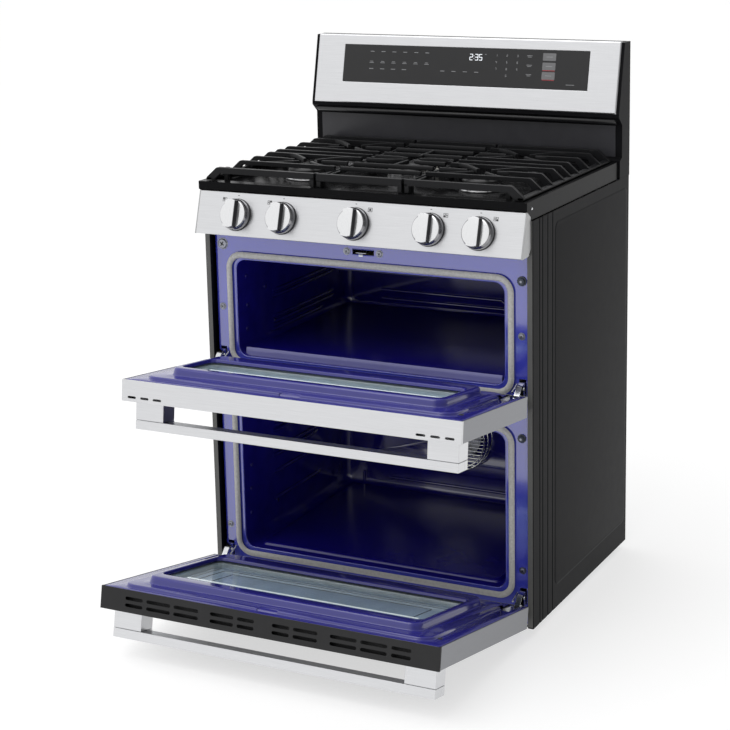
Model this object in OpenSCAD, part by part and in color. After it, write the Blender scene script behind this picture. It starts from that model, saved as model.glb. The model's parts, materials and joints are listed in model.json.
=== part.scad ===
// Freestanding double-oven gas range with both oven doors standing open.
// Millimetres. X runs to the right, Y to the rear and Z up.
// The origin is on the floor, midway between the four levelling feet.

/* [Cabinet] */
// Width over the side panels
cab_w = 760; // [756:1:764]
// Depth of the side panels
cab_d = 572; // [572:1:590]
// Height of the side panels' underside above the floor
base_z = 18; // [16:1:19]
// Thickness of the sheet metal
sheet = 1.2; // [1:0.1:1.5]
// Distance of the front frame's face behind the side panels' front edge
frame_y = 15; // [14:0.5:16]

/* [Ovens] */
// Half-width of both oven mouths
mouth_half = 314; // [310:1:316]
// Underside of the upper oven's mouth
upper_mouth_z = 527; // [525:1:530]
// Top of the upper oven's mouth
upper_mouth_top = 745; // [743:1:747]
// Underside of the lower oven's mouth
lower_mouth_z = 89; // [88:1:92]
// Top of the lower oven's mouth
lower_mouth_top = 430; // [428:1:432]
// Depth of the upper oven's rear wall behind the cabinet's front edge
upper_back_y = 518; // [500:1:520]
// Depth of the lower oven's rear wall behind the cabinet's front edge
lower_back_y = 495; // [490:1:496]

/* [Doors] */
// Half-width of both doors
door_half = 375.5; // [374:0.5:376]
// Gap between the closed doors and the cabinet's front edge
door_gap = 4; // [3.5:0.5:5]
// Underside of the upper door when it is shut
upper_door_z = 477.5; // [477:0.5:478]
// Length of the upper door from its hinge edge to its top edge
upper_door_len = 324; // [322:1:324]
// Thickness of the upper door
upper_door_t = 43; // [42:0.5:44]
// Angle that the upper door stands open
upper_angle = 83.1; // [80:0.1:90]
// Underside of the lower door when it is shut
lower_door_z = 29.5; // [29:0.5:30]
// Length of the lower door from its hinge edge to its top edge
lower_door_len = 440; // [438:1:440]
// Thickness of the lower door
lower_door_t = 45; // [44:0.5:46]
// Angle that the lower door stands open
lower_angle = 78.9; // [75:0.1:84]
// How far the handles stand out from the doors
handle_out = 62; // [55:1:65]

/* [Cooktop] */
// Height of the cooktop's rim above the floor
rim_z = 916; // [914:1:918]
// Depth of the recessed well below the rim
well_d = 12; // [10:1:13]
// Height of the grates' cooking surface above the rim
grate_h = 29; // [26:1:32]
// Distance of the side burners from the middle
burner_x = 205; // [200:1:210]

/* [Controls] */
// Radius of the knobs
knob_r = 33.5; // [30:0.5:35]
// Travel of a knob when it is pushed in
knob_push = 3; // [2:0.5:3]
// Radius of the valve stems
stem_r = 3; // [2.5:0.5:4]

/* [Backguard] */
// Height of the backguard's top above the floor
top_z = 1178; // [1170:1:1185]
// Half-width of the stainless backguard panel
guard_half = 373.5; // [370:0.5:375]

/* [Hidden] */
$fn = 48;
running = 0.05;
half_w = cab_w / 2;
side_top = rim_z - 39;
flange_w = 13;
foot_x = 340;
foot_front_y = 60;
foot_rear_y = 512;
foot_r = 16;

// Front frame
frame_half = 362;
frame_t = 2;
frame_z0 = base_z + 4;
frame_z1 = 806;
mouth_r = 25;
cavity_gap = 2;
gasket_w = 15;
gasket_t = 10.5;
insulation_t = 22;

// Doors and their hinges, each door as [underside, length, thickness, opening angle]
UPPER = [upper_door_z, upper_door_len, upper_door_t, upper_angle];
LOWER = [lower_door_z, lower_door_len, lower_door_t, lower_angle];
pivot_up = 14;
pivot_in = 33;
pivot_y = -door_gap - pivot_in;
hinge_x = 351;
arm_w = 12;
slot_w = 15;
pin_r = 4;
liner_half = 372;
plateau_half = 342;
plateau_h = 7;
ring_half = 306;
ring_h = 23;
window_half = 293;
handle_half = 360;
handle_drop = 28;
post_w = 66;
post_l = 43;
bar_l = 29;
bar_t = 19;
// Cooling slots in the lower door's top edge, as [middle, length]
LOWER_SLOTS = [[39, 33], [93, 48], [175, 52], [239.5, 51], [297, 36]];

// Control panel's sloping face, from its top edge to its lower edge
face_top = [-18, rim_z - 19];
face_low = [-46, rim_z - 109];
face_len = norm(face_low - face_top);
face_tilt = atan2(face_top[0] - face_low[0], face_top[1] - face_low[1]);
knob_s = 48.5;
KNOB_X = [-278, -169, 0, 169, 278];
knob_gap = knob_push + 1.5;
valve_depth = 62;
manifold_depth = 77.5;
manifold_y = face_top[0] + (face_low[0] - face_top[0]) * knob_s / face_len + manifold_depth * cos(face_tilt);
manifold_z = face_top[1] + (face_low[1] - face_top[1]) * knob_s / face_len - manifold_depth * sin(face_tilt);
inlet_x = 300;
inlet_z = 800;
inlet_r = 10;

// Burners and grates
well_z = rim_z - well_d;
cook_z = rim_z + grate_h;
cook_half = half_w - 4;
cook_y0 = -22;
cook_y1 = 508;
burner_front_y = 154;
burner_rear_y = 365;
burner_mid_y = 255;
SIDE_BURNERS = [for (x = [-burner_x, burner_x], y = [burner_front_y, burner_rear_y]) [x, y]];
grate_y0 = -10;
grate_y1 = 490;
grate_bar = 12;
grate_half = 364;
GRATE_RIBS = [92, 154, 216, 258, 303, 365, 431];

// Backguard's sloping panel, from its top edge to its lower edge
guard_top = [533, top_z];
guard_low = [497, top_z - 156];
guard_len = norm(guard_low - guard_top);
guard_tilt = atan2(guard_top[0] - guard_low[0], guard_top[1] - guard_low[1]);
splash_y = 520;

// Convection fan in the lower oven
fan_z = 248;
fan_r = 80;
fan_depth = 35;

// ---- Helpers. Y is measured from the side panels' front edge inside placed(). ----

module placed() translate([0, -(foot_front_y + foot_rear_y) / 2, 0]) children();

module block(low, high) translate(low) cube(high - low);

module wide(half, y0, y1, z0, z1) block([-half, y0, z0], [half, y1, z1]);

module both_sides() {
    children();
    mirror([1, 0, 0]) children();
}

// Rounded rectangle, symmetric in X
module round_rect(half, v0, v1, r) {
    translate([-half + r, v0]) square([2 * (half - r), v1 - v0]);
    translate([-half, v0 + r]) square([2 * half, v1 - v0 - 2 * r]);
    for (x = [-half + r, half - r], v = [v0 + r, v1 - r]) translate([x, v]) circle(r);
}

// Upright plate with rounded corners, between two depths
module slab(half, z0, z1, r, y0, y1)
    translate([0, y1, 0]) rotate([90, 0, 0]) linear_extrude(y1 - y0) round_rect(half, z0, z1, r);

// Level plate with rounded corners, between two heights
module deck(half, y0, y1, r, z0, z1) translate([0, 0, z0]) linear_extrude(z1 - z0) round_rect(half, y0, y1, r);

// A profile drawn in (Y, Z), extruded along X between two places
module profile(x0, x1) translate([x0, 0, 0]) rotate([90, 0, 90]) linear_extrude(x1 - x0) children();

// Cylinders along Y and along X
module rod_y(x, z, r, y0, y1) translate([x, y1, z]) rotate([90, 0, 0]) cylinder(r = r, h = y1 - y0);
module rod_x(y, z, r, x0, x1) translate([x0, y, z]) rotate([0, 90, 0]) cylinder(r = r, h = x1 - x0);

// Upright screw or stud pattern: [x, z, head radius]
FRAME_SCREWS = [[-349, 636, 7], [349, 636, 7], [-350, 137, 7], [350, 137, 7], [-43, 781, 6], [33, 781, 6]];
BUMPERS = [[-344, 775, 11], [350, 750, 11], [349, 422, 9], [-349, 422, 9]];

function pivot_z(door) = door[0] + pivot_up;
function door_top(door) = door[0] + door[1];
function door_out(door) = -door_gap - door[2];

// Local frame on the control panel: +Z stands out of the face and +Y runs up it
module on_face(x, s) let (k = s / face_len)
    translate([x, face_top[0] + (face_low[0] - face_top[0]) * k, face_top[1] + (face_low[1] - face_top[1]) * k])
        rotate([90 - face_tilt, 0, 0]) children();

// Local frame on the backguard panel: +Z stands out of the face and +Y runs up it
module on_guard(x, s) let (k = s / guard_len)
    translate([x, guard_top[0] + (guard_low[0] - guard_top[0]) * k, guard_top[1] + (guard_low[1] - guard_top[1]) * k])
        rotate([90 - guard_tilt, 0, 0]) children();

// A door's parts are drawn shut and turned about the hinge pins to where they stand open
module opened(door) placed()
    translate([0, pivot_y, pivot_z(door)]) rotate([door[3], 0, 0]) translate([0, -pivot_y, -pivot_z(door)])
        children();

// ---- Cabinet ----

module side_panel() placed() {
    block([half_w - sheet, 0, base_z], [half_w, cab_d, side_top]);
    block([half_w - flange_w, 0, base_z], [half_w, sheet, side_top]);
    block([half_w - flange_w, 0, base_z], [half_w - flange_w + sheet, frame_y - 3, side_top]);
    block([half_w - 20, cab_d - sheet, base_z], [half_w, cab_d, side_top]);
}

module side_panel_left() color("#2b2c2e") mirror([1, 0, 0]) side_panel();

module side_panel_right() color("#2b2c2e") side_panel();

module rear_panel() color("#3a3b3d") placed() difference() {
    wide(half_w - 2 * sheet, cab_d - 2.2 * sheet, cab_d - 1.1 * sheet, base_z + 14, side_top - 2);
    rod_y(inlet_x, inlet_z, 20, cab_d - 10, cab_d + 1);
    for (i = [-8:8], z = [640, 670, 700]) block([i * 30 - 10, cab_d - 10, z], [i * 30 + 10, cab_d + 1, z + 6]);
}

module base_pan() color("#3a3b3d") placed() {
    wide(half_w - sheet, frame_y + frame_t + 1, cab_d - 3 * sheet, base_z, base_z + sheet);
    both_sides() block([half_w - 2.5 * sheet, frame_y + frame_t + 1, base_z],
                       [half_w - 1.5 * sheet, cab_d - 3 * sheet, base_z + 12]);
}

module levelling_feet() color("#202020") placed() both_sides() for (y = [foot_front_y, foot_rear_y])
    translate([foot_x, y, 0]) {
        cylinder(r = foot_r, h = 7);
        cylinder(r = 9, h = 11, $fn = 6);
        cylinder(r = 5, h = base_z);
    }

module front_frame() color("#4b4f9c") placed() difference() {
    union() {
        wide(frame_half, frame_y, frame_y + frame_t, frame_z0, frame_z1);
        both_sides() block([frame_half - sheet, frame_y, frame_z0], [frame_half, frame_y + 25, frame_z1]);
    }
    slab(mouth_half, upper_mouth_z, upper_mouth_top, mouth_r, frame_y - 1, frame_y + 3);
    slab(mouth_half, lower_mouth_z, lower_mouth_top, mouth_r, frame_y - 1, frame_y + 3);
    both_sides() for (door = [UPPER, LOWER])
        block([hinge_x - slot_w / 2, frame_y - 1, pivot_z(door) + 21],
              [hinge_x + slot_w / 2, frame_y + 3, pivot_z(door) + 55]);
    block([-30, frame_y - 1, 776], [20, frame_y + 3, 787]);
    for (p = FRAME_SCREWS) rod_y(p[0], p[1], 2.6, frame_y - 1, frame_y + 3);
}

module frame_screws() color("#9a9ca0") placed() {
    for (p = FRAME_SCREWS) {
        rod_y(p[0], p[1], p[2], frame_y - 3, frame_y);
        rod_y(p[0], p[1], 2.5, frame_y - 1, frame_y + 8);
    }
    for (p = BUMPERS) {
        rod_y(p[0], p[1], p[2], frame_y - 3, frame_y);
        rod_y(p[0], p[1], p[2] - 3, frame_y - 8, frame_y - 2);
    }
}

// Oven box of sheet, open at the front, with a flange behind the front frame
module cavity(z0, z1, back_y) {
    front = frame_y + frame_t;
    half = mouth_half - cavity_gap;
    difference() {
        union() {
            slab(half + sheet, z0 + cavity_gap - sheet, z1 - cavity_gap + sheet, mouth_r, front, back_y + sheet);
            slab(half + 16, z0 - 14, z1 + 14, mouth_r + 14, front, front + sheet);
        }
        slab(half, z0 + cavity_gap, z1 - cavity_gap, mouth_r - sheet, front - 1, back_y);
    }
    both_sides() for (z = [z0 + 52 : 38 : z1 - 45])
        block([half - 4, front + 40, z], [half + 0.5, back_y - 40, z + 4]);
}

module upper_cavity() color("#1a1a50") placed() difference() {
    cavity(upper_mouth_z, upper_mouth_top, upper_back_y);
    rod_y(-225, upper_mouth_top - 50, 17, upper_back_y - 1, upper_back_y + 2);
    rod_y(225, upper_mouth_top - 50, 3.2, upper_back_y - 1, upper_back_y + 2);
}

module lower_cavity() color("#1a1a50") placed() difference() {
    cavity(lower_mouth_z, lower_mouth_top, lower_back_y);
    rod_y(0, fan_z, 9, lower_back_y - 1, lower_back_y + 2);
    rod_y(-225, lower_mouth_top - 50, 17, lower_back_y - 1, lower_back_y + 2);
    rod_y(225, lower_mouth_top - 50, 3.2, lower_back_y - 1, lower_back_y + 2);
}

module gasket(z0, z1) difference() {
    slab(mouth_half + 21, z0 - 19, z1 + 17, 38, frame_y - gasket_t, frame_y);
    slab(mouth_half + 21 - gasket_w, z0 - 19 + gasket_w, z1 + 17 - gasket_w, 24, frame_y - gasket_t - 1, frame_y + 1);
}

module oven_gaskets() color("#a8a7a0") placed() {
    gasket(upper_mouth_z, upper_mouth_top);
    gasket(lower_mouth_z, lower_mouth_top);
}

// Blanket round an oven box, with the bulkhead openings left at its back
module blanket(z0, z1, back_y) difference() {
    half = mouth_half - cavity_gap + sheet + 1;
    slab(half + insulation_t, z0 - insulation_t, z1 + insulation_t, mouth_r + 10, frame_y + 6, back_y + insulation_t);
    slab(half, z0 - 0.5, z1 + 0.5, mouth_r, frame_y + 5, back_y + 2.5);
    for (x = [-225, 0, 225]) rod_y(x, x == 0 ? fan_z : z1 - 50, 32, back_y, back_y + insulation_t + 1);
}

module insulation() color("#d8cf9a") placed() {
    blanket(upper_mouth_z, upper_mouth_top, upper_back_y);
    blanket(lower_mouth_z, lower_mouth_top, lower_back_y);
}

// ---- Oven fittings ----

// Perforated floor panel standing on the oven's bottom
module floor_panel(z0, back_y) {
    half = mouth_half - cavity_gap - 26;
    z = z0 + cavity_gap;
    difference() {
        union() {
            wide(half, frame_y + 12, back_y - 6, z + 8, z + 8 + sheet);
            both_sides() block([half - sheet, frame_y + 12, z], [half, back_y - 6, z + 8.5]);
        }
        both_sides() for (i = [0:5])
            block([half - 40, 120 + 55 * i, z + 7], [half - 20, 150 + 55 * i, z + 10]);
    }
}

module oven_floors() color("#4b4f9c") placed() {
    floor_panel(upper_mouth_z, upper_back_y);
    floor_panel(lower_mouth_z, lower_back_y);
}

// Broil burner under the oven's top: a perforated box on two hangers
module broil_burner(z1) {
    top = z1 - cavity_gap;
    wide(120, 110, 400, top - 26, top - 12);
    both_sides() for (y = [130, 370]) block([110, y, top - 12.5], [118, y + 12, top]);
}

// Bake burner below the oven's bottom: two tubes joined at the rear
module bake_burner(z) {
    both_sides() rod_y(130, z, 9, 80, 440);
    rod_x(440, z, 9, -139, 139);
}

module oven_burners() color("#8a8c90") placed() {
    broil_burner(upper_mouth_top);
    broil_burner(lower_mouth_top);
    bake_burner(upper_mouth_z - insulation_t - 12);
    bake_burner(lower_mouth_z - insulation_t - 12);
}

module fan_guard() color("#c9cbd0") placed() difference() {
    union() {
        rod_y(0, fan_z, fan_r, lower_back_y - fan_depth, lower_back_y - fan_depth + 3);
        rod_y(0, fan_z, fan_r, lower_back_y - 3, lower_back_y);
        for (a = [0:30:330])
            rod_y((fan_r - 3) * cos(a), fan_z + (fan_r - 3) * sin(a), 2, lower_back_y - fan_depth, lower_back_y);
    }
    rod_y(0, fan_z, fan_r - 6, lower_back_y - 4, lower_back_y + 1);
    for (i = [-8:8]) let (z = fan_z + 8.5 * i, w = sqrt(pow(fan_r - 5, 2) - pow(8.5 * i, 2)) - 2)
        wide(w, lower_back_y - fan_depth - 1, lower_back_y - fan_depth + 4, z - 2.4, z + 2.4);
}

module fan_blade() color("#a7a9ad") placed() translate([0, 0, fan_z]) {
    rod_y(0, 0, 14, lower_back_y - 26, lower_back_y - 8);
    rod_y(0, 0, 52, lower_back_y - 10, lower_back_y - 8.5);
    for (a = [0:45:315]) rotate([0, a, 0])
        block([10, lower_back_y - 25, -1], [58, lower_back_y - 9, 1]);
    rod_y(0, 0, 4, lower_back_y - 22, lower_back_y + 30);
}

module fan_motor() color("#6c6e72") placed() translate([0, 0, fan_z]) difference() {
    union() {
        rod_y(0, 0, 28, lower_back_y + 4, lower_back_y + 44);
        wide(44, lower_back_y + 24, lower_back_y + 26, -8, 8);
    }
    rod_y(0, 0, 4 + running, lower_back_y + 3, lower_back_y + 36);
}

module oven_lamps() color("#e8e6da") placed()
    for (p = [[upper_mouth_top - 50, upper_back_y], [lower_mouth_top - 50, lower_back_y]]) {
        rod_y(-225, p[0], 24, p[1] - 5, p[1]);
        rod_y(-225, p[0], 16, p[1] - 14, p[1] + 22);
    }

module temperature_probes() color("#b7b9bd") placed()
    for (p = [[upper_mouth_top - 50, upper_back_y], [lower_mouth_top - 50, lower_back_y]]) {
        rod_y(225, p[0], 8, p[1] - 2, p[1]);
        rod_y(225, p[0], 3, p[1] - 70, p[1] + 20);
    }

module latch_hook() color("#d5d7da") placed() difference() {
    union() {
        block([-10, 3, 778], [0, 48, 781]);
        block([-10, 3, 774.5], [0, 6, 781]);
        translate([-5, 48, 778]) cylinder(r = 8, h = 3);
    }
    translate([-5, 48, 770]) cylinder(r = 3, h = 20);
}

// ---- Cooktop ----

// Hollows the cover from below and recesses the well, leaving the well's walls standing
module cooktop() color("#1c1d1f") placed() difference() {
    wide(cook_half, cook_y0, cook_y1, side_top + 1, rim_z);
    difference() {
        wide(cook_half - sheet, cook_y0 + sheet, cook_y1 - sheet, side_top, rim_z - sheet);
        deck(cook_half - 17, 2, cook_y1 - 12, 22, well_z - sheet, rim_z);
    }
    deck(cook_half - 17 - sheet, 2 + sheet, cook_y1 - 12 - sheet, 21, well_z, rim_z + 1);
    wide(cook_half + 1, cook_y0 - 1, frame_y + frame_t, side_top, rim_z - 17);
    for (p = SIDE_BURNERS) translate([p[0], p[1], well_z - 5]) cylinder(r = 22, h = 10);
    translate([0, burner_mid_y, well_z - 5]) cylinder(r = 22, h = 10);
}

// Rounded oblong, long way front to back
module oblong(w, l, h) {
    for (y = [-(l - w) / 2, (l - w) / 2]) translate([0, y, 0]) cylinder(r = w / 2, h = h);
    translate([-w / 2, -(l - w) / 2, 0]) cube([w, l - w, h]);
}

module burner_head() {
    translate([0, 0, well_z]) cylinder(r = 50, h = 4);
    translate([0, 0, well_z + 3]) cylinder(r = 38, h = 15);
    translate([0, 0, well_z - 30]) cylinder(r = 20, h = 34);
}

module burner_heads() color("#a9abae") placed() {
    for (p = SIDE_BURNERS) translate([p[0], p[1], 0]) burner_head();
    translate([0, burner_mid_y, well_z]) {
        oblong(84, 200, 4);
        translate([0, 0, 3]) oblong(62, 178, 15);
        translate([0, 0, -30]) cylinder(r = 20, h = 34);
    }
}

module burner_caps() color("#161616") placed() {
    for (p = SIDE_BURNERS) translate([p[0], p[1], well_z + 18]) {
        cylinder(r = 42, h = 5);
        translate([0, 0, 4.9]) cylinder(r1 = 42, r2 = 36, h = 3);
    }
    translate([0, burner_mid_y, well_z + 18]) {
        oblong(68, 184, 5);
        translate([0, 0, 4.9]) oblong(58, 174, 3);
    }
}

module igniters() color("#e9e6df") placed()
    for (p = concat([for (b = SIDE_BURNERS) [b[0], b[1] + 45]], [[46, burner_mid_y + 20]]))
        translate([p[0], p[1], well_z + 4]) {
            cylinder(r = 3.5, h = 11);
            cylinder(r = 1, h = 15);
        }

// Bar of the grate, with its top at the cooking surface
module grate_bar(x0, x1, y0, y1, h = 14) block([x0, y0, cook_z - h], [x1, y1, cook_z]);

// Rib of a side grate, from its inner end to where its outer end slopes down to the rim
module sloping_rib(x0, y0, y1) translate([0, y1, 0]) rotate([90, 0, 0]) linear_extrude(y1 - y0)
    polygon([[x0, cook_z - 14], [grate_half - 34, cook_z - 14], [grate_half - 22, rim_z + 1.5],
             [grate_half, rim_z + 1.5], [grate_half, rim_z + 6], [grate_half - 26, cook_z], [x0, cook_z]]);

// Finger of the grate, pointing away from a burner's middle
module finger(r0, r1, angle) rotate([0, 0, angle]) block([r0, -4, cook_z - 13], [r1, 4, cook_z]);

// Feet standing in the well, at two places in X
module grate_feet(x0, x1)
    for (x = [x0, x1], y = [grate_y0 + 16, (grate_y0 + grate_y1) / 2, grate_y1 - grate_bar])
        block([x, y, well_z + 0.2], [x + 10, y + grate_bar, cook_z - 1]);

// Right-hand grate over two burners, with its outer ends sloping down over the rim
module side_grate() placed() {
    x0 = 104;
    for (y = [grate_y0, grate_y1 - grate_bar]) sloping_rib(x0, y, y + grate_bar);
    difference() {
        for (y = GRATE_RIBS) sloping_rib(x0, y - 4, y + 4);
        for (y = [burner_front_y, burner_rear_y]) translate([burner_x, y, 0]) cylinder(r = 34, h = 2 * rim_z);
    }
    for (y = [burner_front_y, burner_rear_y]) translate([burner_x, y, 0]) for (a = [45:90:315]) finger(26, 80, a);
    grate_bar(x0, x0 + 10, grate_y0, grate_y1, 12);
    block([grate_half - 12, grate_y0, rim_z + 1.5], [grate_half, grate_y1, rim_z + 6]);
    grate_feet(x0, grate_half - 44);
}

module grate_left() color("#232427") mirror([1, 0, 0]) side_grate();

module grate_center() color("#232427") placed() {
    for (y = [grate_y0, grate_y1 - grate_bar]) grate_bar(-98, 98, y, y + grate_bar, 16);
    for (x = [-98, 88]) grate_bar(x, x + 10, grate_y0, grate_y1, 12);
    difference() {
        for (y = GRATE_RIBS) grate_bar(-98, 98, y - 4, y + 4);
        translate([0, burner_mid_y, 0]) cylinder(r = 34, h = 2 * rim_z);
    }
    translate([0, burner_mid_y, 0]) for (a = [45:90:315]) finger(26, 80, a);
    grate_feet(-98, 88);
}

module grate_right() color("#232427") side_grate();

// ---- Controls ----

// Sloping fascia folded back at its top and bottom, with a hole for each valve stem
module control_panel() color("#e4e5e7") placed() difference() {
    profile(-door_half + 3, door_half - 3)
        polygon([face_top, [frame_y + 20, face_top[1]], [frame_y + 20, face_top[1] - sheet],
                 face_top + [sheet, -sheet], face_low + [1.3 * sheet, sheet],
                 [-0.5, face_low[1] + sheet], [-0.5, face_low[1]], face_low]);
    for (x = KNOB_X) on_face(x, knob_s) translate([0, 0, -5]) cylinder(r = 5, h = 10);
}

module panel_end_caps() color("#b9bbbe") placed() both_sides()
    profile(door_half - 3, door_half)
        polygon([face_top, [-1, face_top[1]], [-1, face_low[1]], face_low]);

// Round knob with a bar grip across it and a bore for the flatted stem
module knob(x) color("#d9dbde") placed() on_face(x, knob_s) difference() {
    union() {
        translate([0, 0, knob_gap]) cylinder(r = knob_r, h = 15);
        translate([-11, -knob_r + 2, knob_gap + 14]) cube([22, 2 * knob_r - 4, 16]);
    }
    translate([0, 0, knob_gap - 1]) cylinder(r = knob_r - 4, h = 10);
    translate([0, 0, knob_gap]) stem_section(stem_r + running, 22);
}

// The knob's hub round its bore
module knob_hub(x) color("#d9dbde") placed() on_face(x, knob_s) difference() {
    translate([0, 0, knob_gap + 0.5]) cylinder(r = 8, h = 10);
    translate([0, 0, knob_gap]) stem_section(stem_r + running, 22);
}

// Round stem with a flat along one side
module stem_section(r, h) difference() {
    cylinder(r = r, h = h);
    translate([-r - 1, r * 0.55, -1]) cube([2 * r + 2, r, h + 2]);
}

module numbered_knob(i) {
    knob(KNOB_X[i]);
    knob_hub(KNOB_X[i]);
}

module valve_stem(i) color("#b48d4a") placed() on_face(KNOB_X[i], knob_s)
    translate([0, 0, -valve_depth + 12]) stem_section(stem_r, valve_depth - 12 + knob_gap + 15);

module knob_1() numbered_knob(0);

module knob_2() numbered_knob(1);

module knob_3() numbered_knob(2);

module knob_4() numbered_knob(3);

module knob_5() numbered_knob(4);

module valve_stem_1() valve_stem(0);

module valve_stem_2() valve_stem(1);

module valve_stem_3() valve_stem(2);

module valve_stem_4() valve_stem(3);

module valve_stem_5() valve_stem(4);

module gas_valves() color("#b9a06a") placed() for (x = KNOB_X) on_face(x, knob_s) difference() {
    union() {
        translate([0, 0, -valve_depth]) cylinder(r = 13, h = 30);
        translate([0, 0, -valve_depth + 29]) cylinder(r = 8, h = 14);
        translate([0, 0, -valve_depth - 6]) cylinder(r = 6, h = 7);
    }
    translate([0, 0, -valve_depth + 11]) cylinder(r = stem_r + running, h = valve_depth);
}

module gas_manifold() color("#8d8f93") placed() difference() {
    union() {
        on_face(0, knob_s) translate([-300, 0, -manifold_depth]) rotate([0, 90, 0]) cylinder(r = 9, h = 620);
        on_face(310, knob_s) translate([0, 0, -manifold_depth]) sphere(r = 10);
        rod_y(310, manifold_z, 7, manifold_y, 500);
    }
    on_face(0, knob_s) translate([-301, 0, -manifold_depth]) rotate([0, 90, 0]) cylinder(r = 5, h = 500);
}

module gas_regulator() color("#9c9ea2") placed() difference() {
    union() {
        block([inlet_x - 24, 500, inlet_z - 20], [inlet_x + 24, 548, manifold_z + 12]);
        translate([inlet_x, 524, manifold_z + 11]) cylinder(r = 18, h = 14);
        rod_y(inlet_x, inlet_z, 15, 540, 566);
    }
    rod_y(inlet_x, inlet_z, inlet_r, 546, 567);
}

// ---- Backguard ----

module backguard_panel() color("#e4e5e7") placed() difference() {
    on_guard(0, guard_len) translate([-guard_half, 0, -12]) cube([2 * guard_half, guard_len, 12]);
    on_guard(0, guard_len) translate([-guard_half + sheet, sheet, -13])
        cube([2 * (guard_half - sheet), guard_len - 2 * sheet, 13 - sheet]);
    on_guard(0, 111) translate([-302.5, 0, -5]) cube([605, 87, 10]);
}

module display_glass() color("#141416") placed()
    on_guard(0, 111) translate([-302.4, 0.1, -4]) cube([604.8, 86.8, 4.6]);

module control_board() color("#2f6b45") placed() on_guard(0, 100) {
    translate([-260, 0, -10]) cube([520, 60, 1.6]);
    for (x = [-220 : 55 : 220]) translate([x, 12, -14]) cube([24, 30, 4.5]);
}

// Side profile of the backguard, with its front set back behind the panel
function housing_outline(t) = [
    [cook_y1 + 0.5 + t, side_top + 0.5], [cab_d - t, side_top + 0.5], [cab_d - t, top_z - 3 - t],
    [guard_top[0] + 2 + t, top_z - 3 - t], [guard_low[0] + 3 + t, guard_low[1]],
    [guard_low[0] + 3 + t, guard_low[1] - 8], [splash_y + 1.5 + t, guard_low[1] - 26],
    [splash_y + 1.5 + t, rim_z + 8], [cook_y1 + 0.5 + t, rim_z + 2]
];

module backguard_housing() color("#26272a") placed() difference() {
    profile(-half_w, half_w) polygon(housing_outline(0));
    profile(-half_w + sheet, half_w - sheet) polygon(housing_outline(sheet));
    on_guard(0, guard_len) translate([-guard_half - running, -running, -12 - running])
        cube([2 * (guard_half + running), guard_len + 2 * running, 30]);
    vent_slot();
}

// Slot that the vent trim fills, below the stainless panel
module vent_slot() wide(guard_half - 2.9, guard_low[0], splash_y + 6, guard_low[1] - 23.1, guard_low[1] - 10.9);

module backsplash() color("#2a2a30") placed()
    wide(half_w - 15, splash_y, splash_y + sheet, rim_z + 9, guard_low[1] - 28);

module vent_trim() color("#1b1b1d") placed() difference() {
    union() {
        rod_x(guard_low[0] + 12, guard_low[1] - 17, 6, -guard_half + 3, guard_half - 3);
        wide(guard_half - 3, guard_low[0] + 12, guard_low[0] + 25, guard_low[1] - 23, guard_low[1] - 20);
    }
    for (x = [-340 : 20 : 340])
        block([x - 7, guard_low[0] + 19, guard_low[1] - 26], [x + 7, guard_low[0] + 23, guard_low[1] - 19]);
}

// ---- Doors, drawn shut ----

// Outer shell, open at its top and towards the oven, with a window and the two hinge slots
module door_skin(door, window_z0, window_z1) {
    out = door_out(door);
    top = door_top(door);
    difference() {
        wide(door_half, out, -door_gap, door[0], top - 1.5);
        wide(door_half - sheet, out + sheet, -door_gap + 1, door[0] + sheet, top);
        slab(270, window_z0, window_z1, 8, out - 1, out + 3);
        hinge_slots(door);
    }
}

module hinge_slots(door) both_sides()
    block([hinge_x - slot_w / 2 - 1, door_out(door) + 2, door[0] - 1],
          [hinge_x + slot_w / 2 + 1, 5, pivot_z(door) + 58]);

// Enamelled inner panel pressed up in two steps round the window
module door_liner(door, ring_z0, ring_z1, window_z0, window_z1, edge) {
    base = -door_gap - sheet;
    y1 = -door_gap + plateau_h;
    y2 = -door_gap + ring_h;
    difference() {
        union() {
            slab(liner_half, door[0] + 3, door_top(door) - 4, 5, base, -door_gap);
            slab(plateau_half, door[0] + 28, door_top(door) - edge, 30, base, y1);
            slab(ring_half, ring_z0, ring_z1, 26, base, y2);
        }
        slab(plateau_half - sheet, door[0] + 28 + sheet, door_top(door) - edge - sheet, 29, base - 1, y1 - sheet);
        slab(ring_half - sheet, ring_z0 + sheet, ring_z1 - sheet, 25, base - 1, y2 - sheet);
        slab(window_half, window_z0, window_z1, 16, base - 1, y2 + 1);
        hinge_slots(door);
        block([-24, base - 1, door_top(door) - edge - 12], [16, y1 + 1, door_top(door) - edge + 1]);
        rod_y(-346, door_top(door) - 62, 2.5, base - 1, -door_gap + 1);
    }
    difference() {
        slab(window_half + sheet, window_z0 - sheet, window_z1 + sheet, 17, y2 - 4, y2);
        slab(window_half, window_z0, window_z1, 16, y2 - 5, y2 + 1);
    }
}

// Inner and outer panes
module door_glass(door, window_z0, window_z1, outer_z0, outer_z1) {
    y2 = -door_gap + ring_h;
    slab(window_half + 8, window_z0 - 8, window_z1 + 8, 18, y2 - 8, y2 - 4);
    slab(285, outer_z0 - 14, outer_z1 + 14, 8, door_out(door) + sheet, door_out(door) + sheet + 3);
}

// Handle: a flat bar on two block posts
module handle(door) {
    out = door_out(door);
    top = door_top(door) - handle_drop;
    wide(handle_half, out - handle_out, out - handle_out + bar_t, top - bar_l, top);
    both_sides() block([handle_half - post_w, out - handle_out, top - post_l], [handle_half, out, top]);
}

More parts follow.
